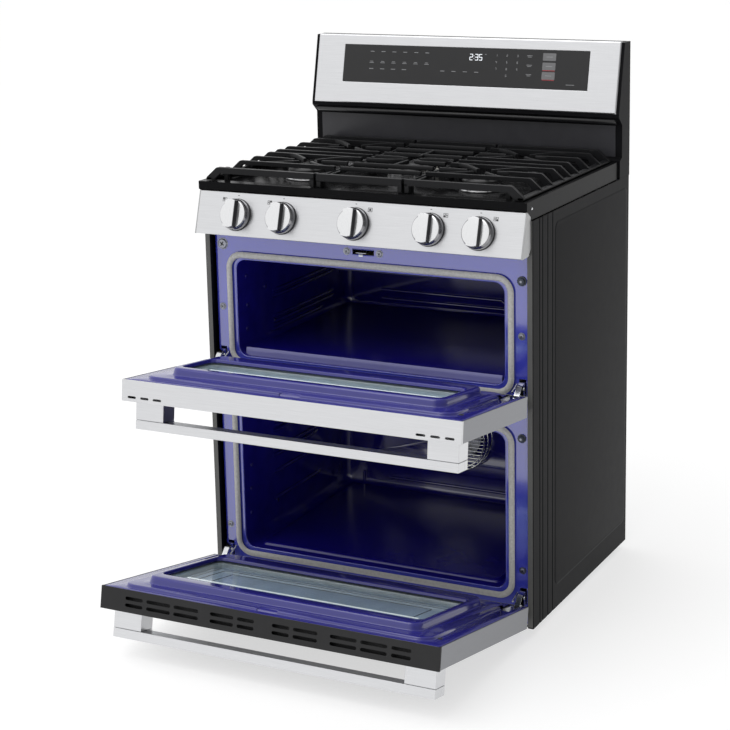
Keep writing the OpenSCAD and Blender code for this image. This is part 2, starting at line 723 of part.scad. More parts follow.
// Hinge body in the door: two cheeks, a pin through the arm's eye and the plate on the liner
module hinge_body(door) both_sides() {
    z = pivot_z(door);
    for (x = [hinge_x - slot_w / 2 - 5, hinge_x + slot_w / 2 + 1.5])
        block([x, pivot_y - 7, z - 11], [x + 3.5, -door_gap - sheet, z + 60]);
    rod_x(pivot_y, z, pin_r, hinge_x - slot_w / 2 - 5, hinge_x + slot_w / 2 + 5);
    block([hinge_x - 26, -door_gap, z + 62], [hinge_x - 11, -door_gap + 1.5, z + 98]);
}

// Arm fixed to the cabinet, from the frame's slot down to its eye on the door's pin
module hinge_arm(door) both_sides() {
    z = pivot_z(door);
    difference() {
        profile(hinge_x - arm_w / 2, hinge_x + arm_w / 2) {
            translate([pivot_y, z]) circle(7.6);
            polygon([[pivot_y + 4.4, z - 6.2], [frame_y + 3, z + 24], [frame_y + 3, z + 51],
                     [pivot_y + 30, z + 44], [pivot_y - 6.2, z + 4.4]]);
        }
        rod_x(pivot_y, z, pin_r + running, hinge_x - arm_w, hinge_x + arm_w);
    }
    block([hinge_x - 7, frame_y + frame_t, z + 14], [hinge_x + 7, frame_y + 60, z + 62]);
}

module hinge_arms() color("#c9cbd0") placed() {
    hinge_arm(UPPER);
    hinge_arm(LOWER);
}

// Slot with round ends through the door's top edge
module edge_slot(door, x, y, l) let (top = door_top(door)) translate([x, y, top - 4]) {
    for (e = [-l / 2, l / 2]) translate([e, 0, 0]) cylinder(r = 2.2, h = 8);
    translate([-l / 2, -2.2, 0]) cube([l, 4.4, 8]);
}

// Channel closing the door's top edge
module door_cap(door) {
    top = door_top(door);
    out = door_out(door);
    wide(door_half, out, -door_gap, top - 1.5, top);
    wide(door_half - 2 * sheet, out + 2 * sheet, out + 3 * sheet, top - 14, top - 1);
    wide(door_half - 2 * sheet, -door_gap - 3 * sheet, -door_gap - 2 * sheet, top - 14, top - 1);
}

upper_window = [upper_door_z + 110, upper_door_z + 236];
lower_window = [lower_door_z + 120, lower_door_z + 352];
upper_front_window = [upper_door_z + 62, upper_door_z + 228];
lower_front_window = [lower_door_z + 72, lower_door_z + 340];

module upper_door_skin() color("#d3d5d8") opened(UPPER) door_skin(UPPER, upper_front_window[0], upper_front_window[1]);

module upper_door_liner() color("#33369a") opened(UPPER)
    door_liner(UPPER, upper_mouth_z + 8, upper_mouth_top - 7, upper_window[0], upper_window[1], 26);

module upper_door_glass() color("#aebfbe") opened(UPPER)
    door_glass(UPPER, upper_window[0], upper_window[1], upper_front_window[0], upper_front_window[1]);

module upper_door_cap() color("#e4e5e7") opened(UPPER) difference() {
    door_cap(UPPER);
    both_sides() for (i = [0:2]) edge_slot(UPPER, 292 + 30 * i, -door_gap - 35, 18);
}

module upper_handle() color("#e4e5e7") opened(UPPER) handle(UPPER);

module upper_hinges() color("#b5b7bb") opened(UPPER) hinge_body(UPPER);

module lower_door_skin() color("#d3d5d8") opened(LOWER) door_skin(LOWER, lower_front_window[0], lower_front_window[1]);

module lower_door_liner() color("#33369a") opened(LOWER)
    door_liner(LOWER, lower_mouth_z + 11, lower_mouth_top - 12, lower_window[0], lower_window[1], 20);

module lower_door_glass() color("#aebfbe") opened(LOWER)
    door_glass(LOWER, lower_window[0], lower_window[1], lower_front_window[0], lower_front_window[1]);

module lower_door_cap() color("#2b2c2e") opened(LOWER) difference() {
    door_cap(LOWER);
    both_sides() for (p = LOWER_SLOTS, y = [-door_gap - 17, -door_gap - 31])
        edge_slot(LOWER, p[0], y, p[1]);
}

module lower_handle() color("#e4e5e7") opened(LOWER) handle(LOWER);

module lower_hinges() color("#b5b7bb") opened(LOWER) hinge_body(LOWER);

side_panel_left();
side_panel_right();
rear_panel();
base_pan();
levelling_feet();
front_frame();
upper_cavity();
lower_cavity();
oven_gaskets();
insulation();
cooktop();
burner_heads();
burner_caps();
igniters();
grate_left();
grate_center();
grate_right();
control_panel();
panel_end_caps();
knob_1();
knob_2();
knob_3();
knob_4();
knob_5();
valve_stem_1();
valve_stem_2();
valve_stem_3();
valve_stem_4();
valve_stem_5();
gas_valves();
gas_manifold();
gas_regulator();
backguard_panel();
display_glass();
backguard_housing();
backsplash();
vent_trim();
control_board();
oven_burners();
oven_floors();
fan_guard();
fan_blade();
fan_motor();
oven_lamps();
temperature_probes();
latch_hook();
frame_screws();
hinge_arms();
upper_door_skin();
upper_door_liner();
upper_door_glass();
upper_door_cap();
upper_handle();
upper_hinges();
lower_door_skin();
lower_door_liner();
lower_door_glass();
lower_door_cap();
lower_handle();
lower_hinges();
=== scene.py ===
import json
import math

import bmesh
import bpy
from mathutils import Matrix, Vector


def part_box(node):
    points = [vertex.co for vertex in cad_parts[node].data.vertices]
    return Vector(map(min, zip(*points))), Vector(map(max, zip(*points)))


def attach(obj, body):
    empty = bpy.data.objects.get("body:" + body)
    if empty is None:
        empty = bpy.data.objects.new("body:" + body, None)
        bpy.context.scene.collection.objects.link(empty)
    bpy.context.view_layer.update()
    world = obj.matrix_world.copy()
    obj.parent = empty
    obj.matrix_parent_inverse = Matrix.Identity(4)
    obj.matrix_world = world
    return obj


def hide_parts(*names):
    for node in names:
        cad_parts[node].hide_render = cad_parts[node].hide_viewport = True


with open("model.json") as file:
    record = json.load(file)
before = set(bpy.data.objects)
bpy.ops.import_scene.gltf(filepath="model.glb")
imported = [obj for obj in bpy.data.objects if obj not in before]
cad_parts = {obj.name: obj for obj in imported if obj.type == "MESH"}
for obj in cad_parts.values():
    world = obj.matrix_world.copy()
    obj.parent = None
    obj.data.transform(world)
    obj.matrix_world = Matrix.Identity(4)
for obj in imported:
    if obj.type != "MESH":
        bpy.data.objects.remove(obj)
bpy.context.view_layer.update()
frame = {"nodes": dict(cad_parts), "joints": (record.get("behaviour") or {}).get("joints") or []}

MM = 0.001
CABINET_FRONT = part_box("side_panel_left")[0].y


# ---- Places. Sizes are in millimetres; Y is measured from the side panels' front edge. ----

IN_PLACE = Matrix.Translation((0, CABINET_FRONT, 0)) @ Matrix.Scale(MM, 4)


def box_mm(node, turned=None):
    """A CAD node's lowest and highest corners in mm, if wanted after a turn back to the shut pose."""
    back = IN_PLACE.inverted() @ (turned or Matrix.Identity(4))
    points = [back @ v.co for v in frame["nodes"][node].data.vertices]
    return (Vector([min(p[i] for p in points) for i in range(3)]),
            Vector([max(p[i] for p in points) for i in range(3)]))


class Door:
    """A door drawn shut and turned open about its hinge, as the CAD model stands."""

    def __init__(self, side, edge, ring, window, front_window):
        joint = next(j for j in frame["joints"] if j["name"] == side + "_door_hinge")
        pivot = Vector(joint["pos_m"])
        turn = Matrix.Rotation(math.radians(-joint["range_deg"][0]), 4, "X")
        opening = Matrix.Translation(pivot) @ turn @ Matrix.Translation(-pivot)
        self.side = side
        self.body = side + "_door"
        self.place = opening @ IN_PLACE
        self.shut = opening.inverted()
        self.pivot = IN_PLACE.inverted() @ pivot
        self.low, self.high = box_mm(side + "_door_skin", self.shut)
        self.top = box_mm(side + "_door_cap", self.shut)[1].z
        self.edge = self.top - edge
        half, base = self.high.x - 3.5, self.low.z
        self.margin = (half, base + 3, self.top - 4, 5)
        self.plateau = (half - 30, base + 28, self.edge, 30)
        self.ring = (half - 66, base + ring[0], self.top - ring[1], 26)
        self.window = (half - 79, base + window[0], base + window[1], 16)
        self.front_window = (base + front_window[0], base + front_window[1])

    def box(self, node):
        return box_mm(self.side + node, self.shut)

    def add(self, name, parts, slot, look, replaces=(), **options):
        """A piece drawn on the shut door, which rides on it."""
        nodes = [self.side + node for node in replaces]
        return piece(self.side + name, parts, self.body, slot, look, nodes, self.place, **options)


# ---- Mesh building ----

def loops(rings, closed_start=True, closed_end=True):
    """Skin over rings of points with equal counts, with their ends filled."""
    n = len(rings[0])
    verts = [Vector(p) for ring in rings for p in ring]
    faces = [(k * n + i, k * n + (i + 1) % n, (k + 1) * n + (i + 1) % n, (k + 1) * n + i)
             for k in range(len(rings) - 1) for i in range(n)]
    if closed_start:
        faces.append(tuple(range(n))[::-1])
    if closed_end:
        faces.append(tuple((len(rings) - 1) * n + i for i in range(n)))
    return verts, faces


def box(low, high):
    x0, y0, z0 = low
    x1, y1, z1 = high
    return loops([[(x0, y0, z), (x1, y0, z), (x1, y1, z), (x0, y1, z)] for z in (z0, z1)])


def wide(half, y0, y1, z0, z1):
    return box((-half, y0, z0), (half, y1, z1))


def sweep(centre, r, start, end, n):
    """Points round part of a circle, in n steps from one angle to the other in degrees."""
    turns = [math.radians(start + (end - start) * k / n) for k in range(n + 1)]
    return [(centre[0] + r * math.cos(a), centre[1] + r * math.sin(a)) for a in turns]


def rounded(half, v0, v1, r, marks=(), arc=6, centre=0):
    """Rounded rectangle as (u, v) points; marks are extra places along its upper and lower edges."""
    r = max(0.05, min(r, half - 0.01, (v1 - v0) / 2 - 0.01))
    corners = [(half - r, v1 - r), (r - half, v1 - r), (r - half, v0 + r), (half - r, v0 + r)]
    edges = [sorted(marks, reverse=True), [], sorted(marks), []]
    points = []
    for i, (u, v) in enumerate(corners):
        points += sweep((centre + u, v), r, 90 * i, 90 * i + 90, arc)
        points += [(centre + m, v1 if i == 0 else v0) for m in edges[i]]
    return points


def upright(half, z0, z1, r, y, **options):
    """Rounded rectangle standing at a depth."""
    return [Vector((u, y, v)) for u, v in rounded(half, z0, z1, r, **options)]


def level(half, y0, y1, r, z, **options):
    """Rounded rectangle lying at a height."""
    return [Vector((u, v, z)) for u, v in rounded(half, y0, y1, r, **options)]


def grown(rect, d):
    half, z0, z1, r = rect
    return half + d, z0 - d, z1 + d, max(r + d, 0.5)


def circle(centre, r, axis="Y", n=32):
    turn = {"Y": lambda a, b: Vector((a, 0, b)), "Z": lambda a, b: Vector((a, b, 0)),
            "X": lambda a, b: Vector((0, a, b))}[axis]
    return [Vector(centre) + turn(a, b) for a, b in sweep((0, 0), r, 0, 360, n)[:-1]]


def lathe(profile, centre=(0, 0, 0), axis="Z", n=40):
    """A turned solid from (radius, distance along the axis) points; a ring's profile ends where it starts."""
    step = {"X": Vector((1, 0, 0)), "Y": Vector((0, 1, 0)), "Z": Vector((0, 0, 1))}[axis]
    rings = [circle(Vector(centre) + step * h, max(r, 0.02), axis, n) for r, h in profile]
    solid = profile[0] != profile[-1]
    return loops(rings, solid, solid)


def tube(path, r, n=10, closed=False, squash=1.0):
    """A round bar swept along a path."""
    points = [Vector(p) for p in path]
    count = len(points)
    rings = []
    normal = None
    for i, p in enumerate(points):
        ahead = points[(i + 1) % count] if closed or i < count - 1 else p
        behind = points[i - 1] if closed or i > 0 else p
        along = (ahead - behind).normalized()
        if normal is None:
            normal = along.orthogonal().normalized()
        normal = (normal - along * normal.dot(along)).normalized()
        other = along.cross(normal)
        rings.append([p + normal * (r * math.cos(2 * math.pi * k / n)) +
                      other * (r * squash * math.sin(2 * math.pi * k / n)) for k in range(n)])
    if closed:
        verts, faces = loops(rings, False, False)
        last = (count - 1) * n
        faces += [(last + k, last + (k + 1) % n, (k + 1) % n, k) for k in range(n)]
        return verts, faces
    return loops(rings)


def prism(outline, low, high, axis="X"):
    """An outline extruded along an axis: drawn in (Y, Z) along X, (X, Z) along Y and (X, Y) along Z."""
    put = {"X": lambda a, b, h: (h, a, b), "Y": lambda a, b, h: (a, h, b),
           "Z": lambda a, b, h: (a, b, h)}[axis]
    return loops([[put(a, b, h) for a, b in outline] for h in (low, high)])


def folded(path, thick):
    """Outline of a bent sheet that follows a path, its thickness to the path's right."""
    inner = []
    for i, p in enumerate(path):
        before, after = Vector(path[max(i - 1, 0)]), Vector(path[min(i + 1, len(path) - 1)])
        along = (after - before).normalized()
        inner.append((p[0] + along.y * thick, p[1] - along.x * thick))
    return [(p[0], p[1]) for p in path] + inner[::-1]


def moved(part, matrix):
    verts, faces = part
    return [matrix @ v for v in verts], faces


def mirrored(part):
    verts, faces = part
    return [Vector((-v.x, v.y, v.z)) for v in verts], [tuple(reversed(f)) for f in faces]


def both(parts):
    return parts + [mirrored(p) for p in parts]


def shaped(name, parts, place, crease=35, weld=True):
    """One mesh of parts, smooth but for the edges sharper than the crease angle."""
    mesh = bpy.data.meshes.new(name)
    build = bmesh.new()
    for verts, faces in parts:
        made = [build.verts.new(place @ v) for v in verts]
        for face in faces:
            try:
                build.faces.new([made[i] for i in face])
            except ValueError:
                pass
    if weld:
        bmesh.ops.remove_doubles(build, verts=build.verts, dist=0.00001)
    bmesh.ops.recalc_face_normals(build, faces=build.faces)
    for face in build.faces:
        face.smooth = True
    limit = math.radians(crease)
    for edge in build.edges:
        edge.smooth = len(edge.link_faces) == 2 and edge.calc_face_angle(0) < limit
    build.to_mesh(mesh)
    build.free()
    return mesh


def piece(name, parts, body, slot, material, replaces=(), place=IN_PLACE, bevel=0.0, crease=35, weld=True):
    """One visible object made of parts, riding on a body."""
    thing = bpy.data.objects.new(name, shaped(name, parts, place, crease, weld))
    bpy.context.scene.collection.objects.link(thing)
    thing.data.materials.append(material)
    if bevel:
        soften(thing, bevel)
    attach(thing, body)
    if replaces:
        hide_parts(*replaces)
    return thing


def cut(thing, parts, place):
    """Take shapes out of a piece."""
    tool = bpy.data.objects.new("cutter", shaped("cutter", parts, place))
    bpy.context.scene.collection.objects.link(tool)
    take = thing.modifiers.new("Cut", "BOOLEAN")
    take.object = tool
    take.operation = "DIFFERENCE"
    take.solver = "EXACT"
    bpy.context.view_layer.update()
    view = bpy.context.evaluated_depsgraph_get()
    thing.data = bpy.data.meshes.new_from_object(thing.evaluated_get(view))
    thing.modifiers.clear()
    bpy.data.objects.remove(tool)


def soften(thing, width):
    """Round the sharp edges and keep the faces flat between them."""
    round_off = thing.modifiers.new("Soften", "BEVEL")
    round_off.width = width * MM
    round_off.segments = 2
    round_off.limit_method = "ANGLE"
    round_off.angle_limit = math.radians(40)
    round_off.harden_normals = True


def keep(node, material, bevel=0.0):
    """Keep a CAD node's shape, with its edges softened and a better material."""
    thing = frame["nodes"][node]
    thing.data.materials.clear()
    thing.data.materials.append(material)
    if bevel:
        weld = thing.modifiers.new("Join", "WELD")
        weld.merge_threshold = 0.00001
        soften(thing, bevel)
    return thing


def sloped(top, low):
    """Frame on a sloping face: local X to the right, Y up the face and Z out of it."""
    lean = math.atan2(top[0] - low[0], top[1] - low[1])
    return Matrix.Translation((0, top[0], top[1])) @ Matrix.Rotation(math.pi / 2 - lean, 4, "X")


# ---- Driving sizes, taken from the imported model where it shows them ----

UPPER = Door("upper", 26, (57.5, 63.5), (110, 236), (62, 228))
LOWER = Door("lower", 20, (70.5, 51.5), (120, 352), (72, 340))
HINGE_X = 351
FRAME_Y = box_mm("front_frame")[0].y
MOUTH_FLANGE, MOUTH_RADIUS = 14, 25


def mouth(node):
    low, high = box_mm(node)
    return high.x - MOUTH_FLANGE, low.z + MOUTH_FLANGE, high.z - MOUTH_FLANGE, MOUTH_RADIUS


UPPER_MOUTH, LOWER_MOUTH = mouth("upper_cavity"), mouth("lower_cavity")
BURNER_X, FRONT_BURNER, REAR_BURNER, MIDDLE_BURNER = 205, 154, 365, 255
GRATE_RIBS = [92, 154, 216, 258, 303, 365, 431]
GRATE_TOP = box_mm("grate_right")[1].z
HOB_TOP = box_mm("cooktop")[1].z
CONTROL_LOW = Vector(box_mm("control_panel")[0].yz)
CONTROL_TOP = CONTROL_LOW + Vector((28, 90))
KNOB_X = (-278, -169, 0, 169, 278)
KNOB_DOWN, KNOB_RADIUS = 48.5, 33.5
STEM_HOLE, SHAFT_HOLE = 5, 10
GUARD_TOP = Vector((box_mm("backguard_panel")[0].y + 36, box_mm("backguard_panel")[1].z))
GUARD_LOW = GUARD_TOP - Vector((36, 156))
GLASS_TOP, GLASS_RISE = -24, 0.6
CONTROL, GUARD = sloped(CONTROL_TOP, CONTROL_LOW), sloped(GUARD_TOP, GUARD_LOW)


# ---- Materials ----

def add_node(tree, kind, **inputs):
    """A shader node with some of its sockets set."""
    made = tree.nodes.new("ShaderNode" + kind)
    for key, value in inputs.items():
        made.inputs[key.replace("_", " ")].default_value = value
    return made


def shade(ramp, stop, position, color):
    ramp.color_ramp.elements[stop].position = position
    ramp.color_ramp.elements[stop].color = [*color, 1]


def join(tree, *links):
    for source, output, target, socket in links:
        tree.links.new(source.outputs[output], target.inputs[socket])


def material(name, color, metallic=0.0, rough=0.5, vary=0.08, scale=40.0, stretch=(1, 1, 1), rough_vary=0.12,
             bump=0.02, bump_scale=600.0, **sockets):
    """Principled surface whose colour, roughness and relief all vary a little by procedural noise."""
    made = bpy.data.materials.new(name)
    made.use_nodes = True
    tree = made.node_tree
    shader = tree.nodes["Principled BSDF"]
    shader.inputs["Metallic"].default_value = metallic
    for key, value in sockets.items():
        shader.inputs[key.replace("_", " ")].default_value = value
    place = add_node(tree, "TexCoord")
    turn = add_node(tree, "Mapping", Scale=stretch)
    cloud = add_node(tree, "TexNoise", Scale=scale, Detail=6)
    tint = add_node(tree, "ValToRGB")
    shade(tint, 0, 0.25, [min(c * (1 - vary), 1) for c in color])
    shade(tint, 1, 0.75, [min(c * (1 + vary), 1) for c in color])
    spread = add_node(tree, "MapRange", To_Min=max(rough * (1 - rough_vary), 0.02),
                      To_Max=min(rough * (1 + rough_vary), 1))
    grain = add_node(tree, "TexNoise", Scale=bump_scale, Detail=3)
    relief = add_node(tree, "Bump", Strength=bump, Distance=MM)
    join(tree, (place, "Object", turn, "Vector"), (turn, "Vector", cloud, "Vector"),
         (cloud, "Fac", tint, "Fac"), (tint, "Color", shader, "Base Color"),
         (cloud, "Fac", spread, "Value"), (spread, "Result", shader, "Roughness"),
         (turn, "Vector", grain, "Vector"), (grain, "Fac", relief, "Height"),
         (relief, "Normal", shader, "Normal"))
    return made


ALONG_X = (0.02, 1, 1)
ALONG_Z = (1, 1, 0.02)
ALONG_Y = (1, 0.02, 1)

CHARCOAL = material("charcoal_paint", (0.0075, 0.0075, 0.0085), rough=0.36, bump=0.03, bump_scale=900,
                    Specular_IOR_Level=0.025)
# Lighter grey copy of the charcoal paint: painted sheen on the side panels' front edges.
EDGE_PAINTED_SHEEN = material("edge_painted_sheen", (0.09, 0.09, 0.086), rough=0.4, vary=0.2, scale=6)
SPLASH = material("splash_enamel", (0.036, 0.036, 0.041), rough=0.3, bump=0.02, bump_scale=900,
                  Specular_IOR_Level=0.35)
GALVANISED = material("galvanised_sheet", (0.33, 0.34, 0.35), metallic=0.8, rough=0.45, vary=0.2, scale=60)
ENAMEL = material("blue_enamel", (0.04, 0.05, 0.45), rough=0.1, vary=0.06, scale=9, bump=0.03, bump_scale=60,
                  IOR=2.35)
LINER = material("liner_enamel", (0.03, 0.028, 0.24), rough=0.1, vary=0.06, scale=9, bump=0.03, bump_scale=60,
                 IOR=1.65)
DEEP_ENAMEL = material("cavity_enamel", (0.011, 0.008, 0.19), rough=0.09, vary=0.2, scale=25, bump=0.02,
                       bump_scale=90, IOR=2.0)
BLACK_ENAMEL = material("hob_enamel", (0.006, 0.006, 0.0066), rough=0.22, vary=0.15, scale=200, bump=0.03,
                        bump_scale=1500, Specular_IOR_Level=0.04)
STAINLESS = material("stainless", (0.66, 0.665, 0.68), metallic=1.0, rough=0.3, vary=0.05, scale=900,
                     stretch=ALONG_X, rough_vary=0.2, bump=0.05, bump_scale=1500)
# Darker copy of the stainless above: painted shade for the door skins' sides.
STAINLESS_PAINTED_SHADE = material("stainless_side", (0.24, 0.245, 0.26), metallic=1.0, rough=0.36, vary=0.08,
                          scale=900, stretch=ALONG_Y, rough_vary=0.2, bump=0.06, bump_scale=1500)
BRIGHT = material("bright_steel", (0.66, 0.67, 0.69), metallic=1.0, rough=0.16, vary=0.06, scale=90)
ALUMINIUM = material("cast_aluminium", (0.56, 0.57, 0.58), metallic=1.0, rough=0.34, vary=0.1, scale=300,
                     bump=0.12, bump_scale=1800)
# Knob metal in three copies of one brushed metal: this bright one is painted highlight for the face and grip
# front, the next two are painted shade for the skirt and the grip's flanks.
KNOB = material("knob_metal", (0.76, 0.765, 0.775), metallic=1.0, rough=0.2, vary=0.04, scale=800,
                stretch=ALONG_Z, rough_vary=0.15, bump=0.03, bump_scale=1500)
KNOB_PAINTED_MID_SHADE = material("knob_side_painted_shade", (0.3, 0.3, 0.31), metallic=1.0, rough=0.2, vary=0.25, scale=140,
                     stretch=ALONG_Z, bump=0.03, bump_scale=1500)
KNOB_PAINTED_DARK_SHADE = material("knob_flank_painted_shade", (0.055, 0.055, 0.06), metallic=1.0, rough=0.3, vary=0.1, scale=300)
IRON = material("cast_iron", (0.0075, 0.0077, 0.0088), rough=0.45, vary=0.2, scale=400, bump=0.15,
                bump_scale=1100, Specular_IOR_Level=0.18)
BRASS = material("brass", (0.6, 0.43, 0.18), metallic=1.0, rough=0.3, vary=0.1, scale=120)
BLACK_GLASS = material("black_glass", (0.022, 0.022, 0.023), rough=0.12, vary=0.05, bump=0.0, IOR=1.38)
RUBBER = material("rubber", (0.03, 0.03, 0.03), rough=0.7, bump=0.15, bump_scale=1500)
FOOT = material("foot_plastic", (0.02, 0.02, 0.02), rough=0.6, bump=0.1, bump_scale=1500)
CAP_GREY = material("cap_grey", (0.42, 0.425, 0.43), metallic=0.6, rough=0.36, vary=0.05)
CAP_BLACK = material("cap_black", (0.022, 0.022, 0.023), rough=0.45, bump=0.05, bump_scale=1200,
                     Specular_IOR_Level=0.2)
BLANKET = material("blanket", (0.7, 0.6, 0.32), rough=0.95, vary=0.2, scale=80, bump=0.6, bump_scale=500)
CERAMIC = material("ceramic", (0.8, 0.78, 0.72), rough=0.45, vary=0.05)
BOARD = material("board", (0.03, 0.2, 0.09), rough=0.5, vary=0.25, scale=150)
LAMP_GLASS = material("lamp_glass", (0.8, 0.8, 0.76), rough=0.15, vary=0.05, bump=0.3, bump_scale=200)
PRINT = material("print_grey", (0.26, 0.265, 0.275), rough=0.5, vary=0.1)
MARK = material("mark_dark", (0.03, 0.03, 0.033), rough=0.5, vary=0.1)
SPACER = material("spacer", (0.62, 0.68, 0.68), metallic=0.7, rough=0.3, vary=0.08)
BRAID = material("braid", (0.5, 0.495, 0.475), rough=0.8, vary=0.14, scale=220, bump=0.5, bump_scale=420)
BUMPER = material("bumper", (0.05, 0.06, 0.08), rough=0.5, vary=0.1)
FLOOR_ENAMEL = material("floor_enamel", (0.008, 0.005, 0.19), rough=0.24, vary=0.1, scale=12, IOR=1.7)
BURNER_METAL = material("burner_metal", (0.7, 0.7, 0.71), metallic=1.0, rough=0.22, vary=0.08, scale=160)
CAP_ENAMEL = material("cap_enamel", (0.02, 0.02, 0.021), rough=0.4, vary=0.2, scale=200, bump=0.06,
                      bump_scale=1300)
LIT = material("lit_numerals", (0.8, 0.82, 0.85), rough=0.5, vary=0.03, Emission_Strength=0.5,
               Emission_Color=(0.8, 0.85, 0.9, 1))
KEY_PRINT = material("key_print", (0.32, 0.325, 0.335), rough=0.5, vary=0.05)
BUTTON = material("button_print", (0.16, 0.16, 0.165), rough=0.4, vary=0.05)
RED_MARK = material("red_mark", (0.4, 0.02, 0.03), rough=0.4, vary=0.05)
VENT_BLACK = material("vent_black", (0.012, 0.012, 0.013), rough=0.3, vary=0.1)
GLASS = material("clear_glass", (0.35, 0.44, 0.44), rough=0.03, vary=0.05, bump=0.0, IOR=1.6, Alpha=0.14)
# Opaque pale blue for the middle pane: painted reflection standing for the sheen seen in the door window, its
# streaks running along the pane.
MIDDLE_PANE_PAINTED_REFLECTION = material("middle_pane_painted_reflection", (0.5, 0.66, 0.86), rough=0.14, vary=0.16, scale=14, stretch=ALONG_Y,
                  bump=0.0, IOR=1.5)
# Pale lavender copy of the blue enamel: painted reflection of the bright room on the upper floor plate's
# front lip.
LIP = material("lip_enamel_painted_sheen", (0.19, 0.19, 0.42), rough=0.2, vary=0.06, scale=9, bump=0.02, bump_scale=60)
# Painted glint: a white, softly glowing strip that stands for the light reflected in the door window.
GLINT_PAINTED = material("glint_painted_highlight", (0.8, 0.86, 0.88), rough=0.3, vary=0.05, Emission_Strength=0.45,
                Emission_Color=(0.8, 0.88, 0.92, 1))
SCREW = material("plated_screw", (0.3, 0.31, 0.35), metallic=1.0, rough=0.3, vary=0.15, scale=200)
FLOOR = material("floor", (0.5, 0.5, 0.5), rough=0.9, vary=0.005, scale=1, bump=0, Specular_IOR_Level=0.0,
                 Emission_Strength=0.6, Emission_Color=(1, 1, 1, 1))
BROILER = material("broiler_steel", (0.02, 0.02, 0.05), metallic=0.6, rough=0.35, vary=0.2)


# ---- Camera, floor and lights ----

def stand_camera():
    """Camera at the photograph's viewing angle: position, direction and roll from the solved view."""
    azimuth, elevation, roll = (math.radians(a) for a in (26.99, 12.56, -1.184))
    back = Vector((math.sin(azimuth) * math.cos(elevation), -math.cos(azimuth) * math.cos(elevation),
                   math.sin(elevation)))
    right = Vector((math.cos(azimuth), math.sin(azimuth), 0))
    up = back.cross(right)
    turned_right = right * math.cos(roll) + up * math.sin(roll)
    turned_up = up * math.cos(roll) - right * math.sin(roll)
    data = bpy.data.cameras.new("camera")
    data.sensor_width = 36
    data.lens = 93.26
    data.shift_x = -0.0066
    data.shift_y = -0.1266
    data.clip_end = 100
    camera = bpy.data.objects.new("camera", data)
    camera.matrix_world = Matrix((
        (turned_right.x, turned_up.x, back.x, 1.748),
        (turned_right.y, turned_up.y, back.y, -3.684),
        (turned_right.z, turned_up.z, back.z, 1.593),
        (0, 0, 0, 1)))
    bpy.context.scene.collection.objects.link(camera)
    bpy.context.scene.camera = camera


def studio():
    """Pale floor, a sky that fades towards the right, and one wide soft lamp above the front left."""
    scene = bpy.context.scene
    scene.world = bpy.data.worlds.new("studio")
    scene.world.use_nodes = True
    tree = scene.world.node_tree
    sky = tree.nodes["Background"]
    sky.inputs["Strength"].default_value = 1.05
    place = add_node(tree, "TexCoord")
    split = add_node(tree, "SeparateXYZ")
    span = add_node(tree, "MapRange", From_Min=-1)
    fade = add_node(tree, "ValToRGB")
    shade(fade, 0, 0.5, (1, 1, 1))
    shade(fade, 1, 0.78, (0.3, 0.3, 0.3))
    join(tree, (place, "Generated", split, "Vector"), (split, "X", span, "Value"),
         (span, "Result", fade, "Fac"), (fade, "Color", sky, "Color"))
    floor = bpy.data.objects.new("floor", bpy.data.meshes.new("floor"))
    side = 30
    floor.data.from_pydata([(-side, -side, 0), (side, -side, 0), (side, side, 0), (-side, side, 0)], [],
                           [(0, 1, 2, 3)])
    floor.data.materials.append(FLOOR)
    scene.collection.objects.link(floor)
    at, towards = Vector((-0.8, -1.6, 4.2)), Vector((0, -0.2, 0.5))
    data = bpy.data.lights.new("top", "AREA")
    data.size = 3
    data.energy = 45
    lamp = bpy.data.objects.new("top", data)
    lamp.location = at
    lamp.rotation_euler = (towards - at).to_track_quat("-Z", "Y").to_euler()
    scene.collection.objects.link(lamp)


# ---- Doors ----

def door_panel(door):
    """Enamelled inner panel, pressed up in two rounded steps round the window."""
    face = door.high.y
    dent_left, dent_right, dent_drop = -24, 16, 8
    marks = [dent_left - 3, dent_left + 1, dent_right - 1, dent_right + 3]
    margin = [(door.margin, d, y) for d, y in ((0, -1.2), (0, -0.6), (-0.6, 0))]
    plateau = [(door.plateau, d, y) for d, y in
               ((5, 0), (2, 0.4), (0.6, 1.8), (0, 4), (-1, 5.8), (-3, 6.8), (-6, 7))]
    ring = [(door.ring, d, y) for d, y in
            ((6, 7), (2.5, 7.6), (0.8, 9.5), (0, 13), (-1, 18), (-2.5, 21), (-5, 22.6), (-9, 23))]
    window = [(door.window, d, y) for d, y in ((4, 23), (1.2, 22.6), (0, 21.4), (-0.5, 16), (1, 15))]
    back = [(door.ring, -10, 20), (door.ring, -4, 18), (door.ring, -2, 8), (door.plateau, -8, 5.5),
            (door.plateau, -2, 3), (door.plateau, 0, -1.2)]
    rings = []
    for rect, d, depth in margin + plateau + ring + window + back + margin[:1]:
        rings.append(upright(*grown(rect, d), face + depth, marks=marks, arc=8))
    for pressed in rings[4:10]:
        for p in pressed:
            if dent_left < p.x < dent_right and p.z > door.edge - 12:
                p.z -= dent_drop
    panel = door.add("_liner_panel", [loops(rings, False, False)], "liner_enamel", LINER, ["_door_liner"],
                     crease=50)
    slot = box((HINGE_X - 17, face - 5, door.low.z - 5), (HINGE_X + 9, face + 12, door.pivot.z + 56))
    cut(panel, both([slot]), door.place)


def door_seal(door):
    """Black seal in the gap round the inner panel, and two plugs beside it."""
    face = door.high.y
    outer, inner = grown(door.margin, 2.2), grown(door.margin, -0.8)
    rings = [upright(*rect, face + y) for rect, y in
             ((outer, -3), (outer, -1.3), (inner, -1.3), (inner, -3), (outer, -3))]
    parts = [loops(rings, False, False)]
    plug = [(0, 1.3), (3, 1.3), (5.4, 0.9), (6, 0), (6, -1)]
    for x in (-346, 346):
        parts.append(lathe(plug, (x, face, door.top - 62), "Y", 20))
    door.add("_door_seal", parts, "foot_plastic", RUBBER)


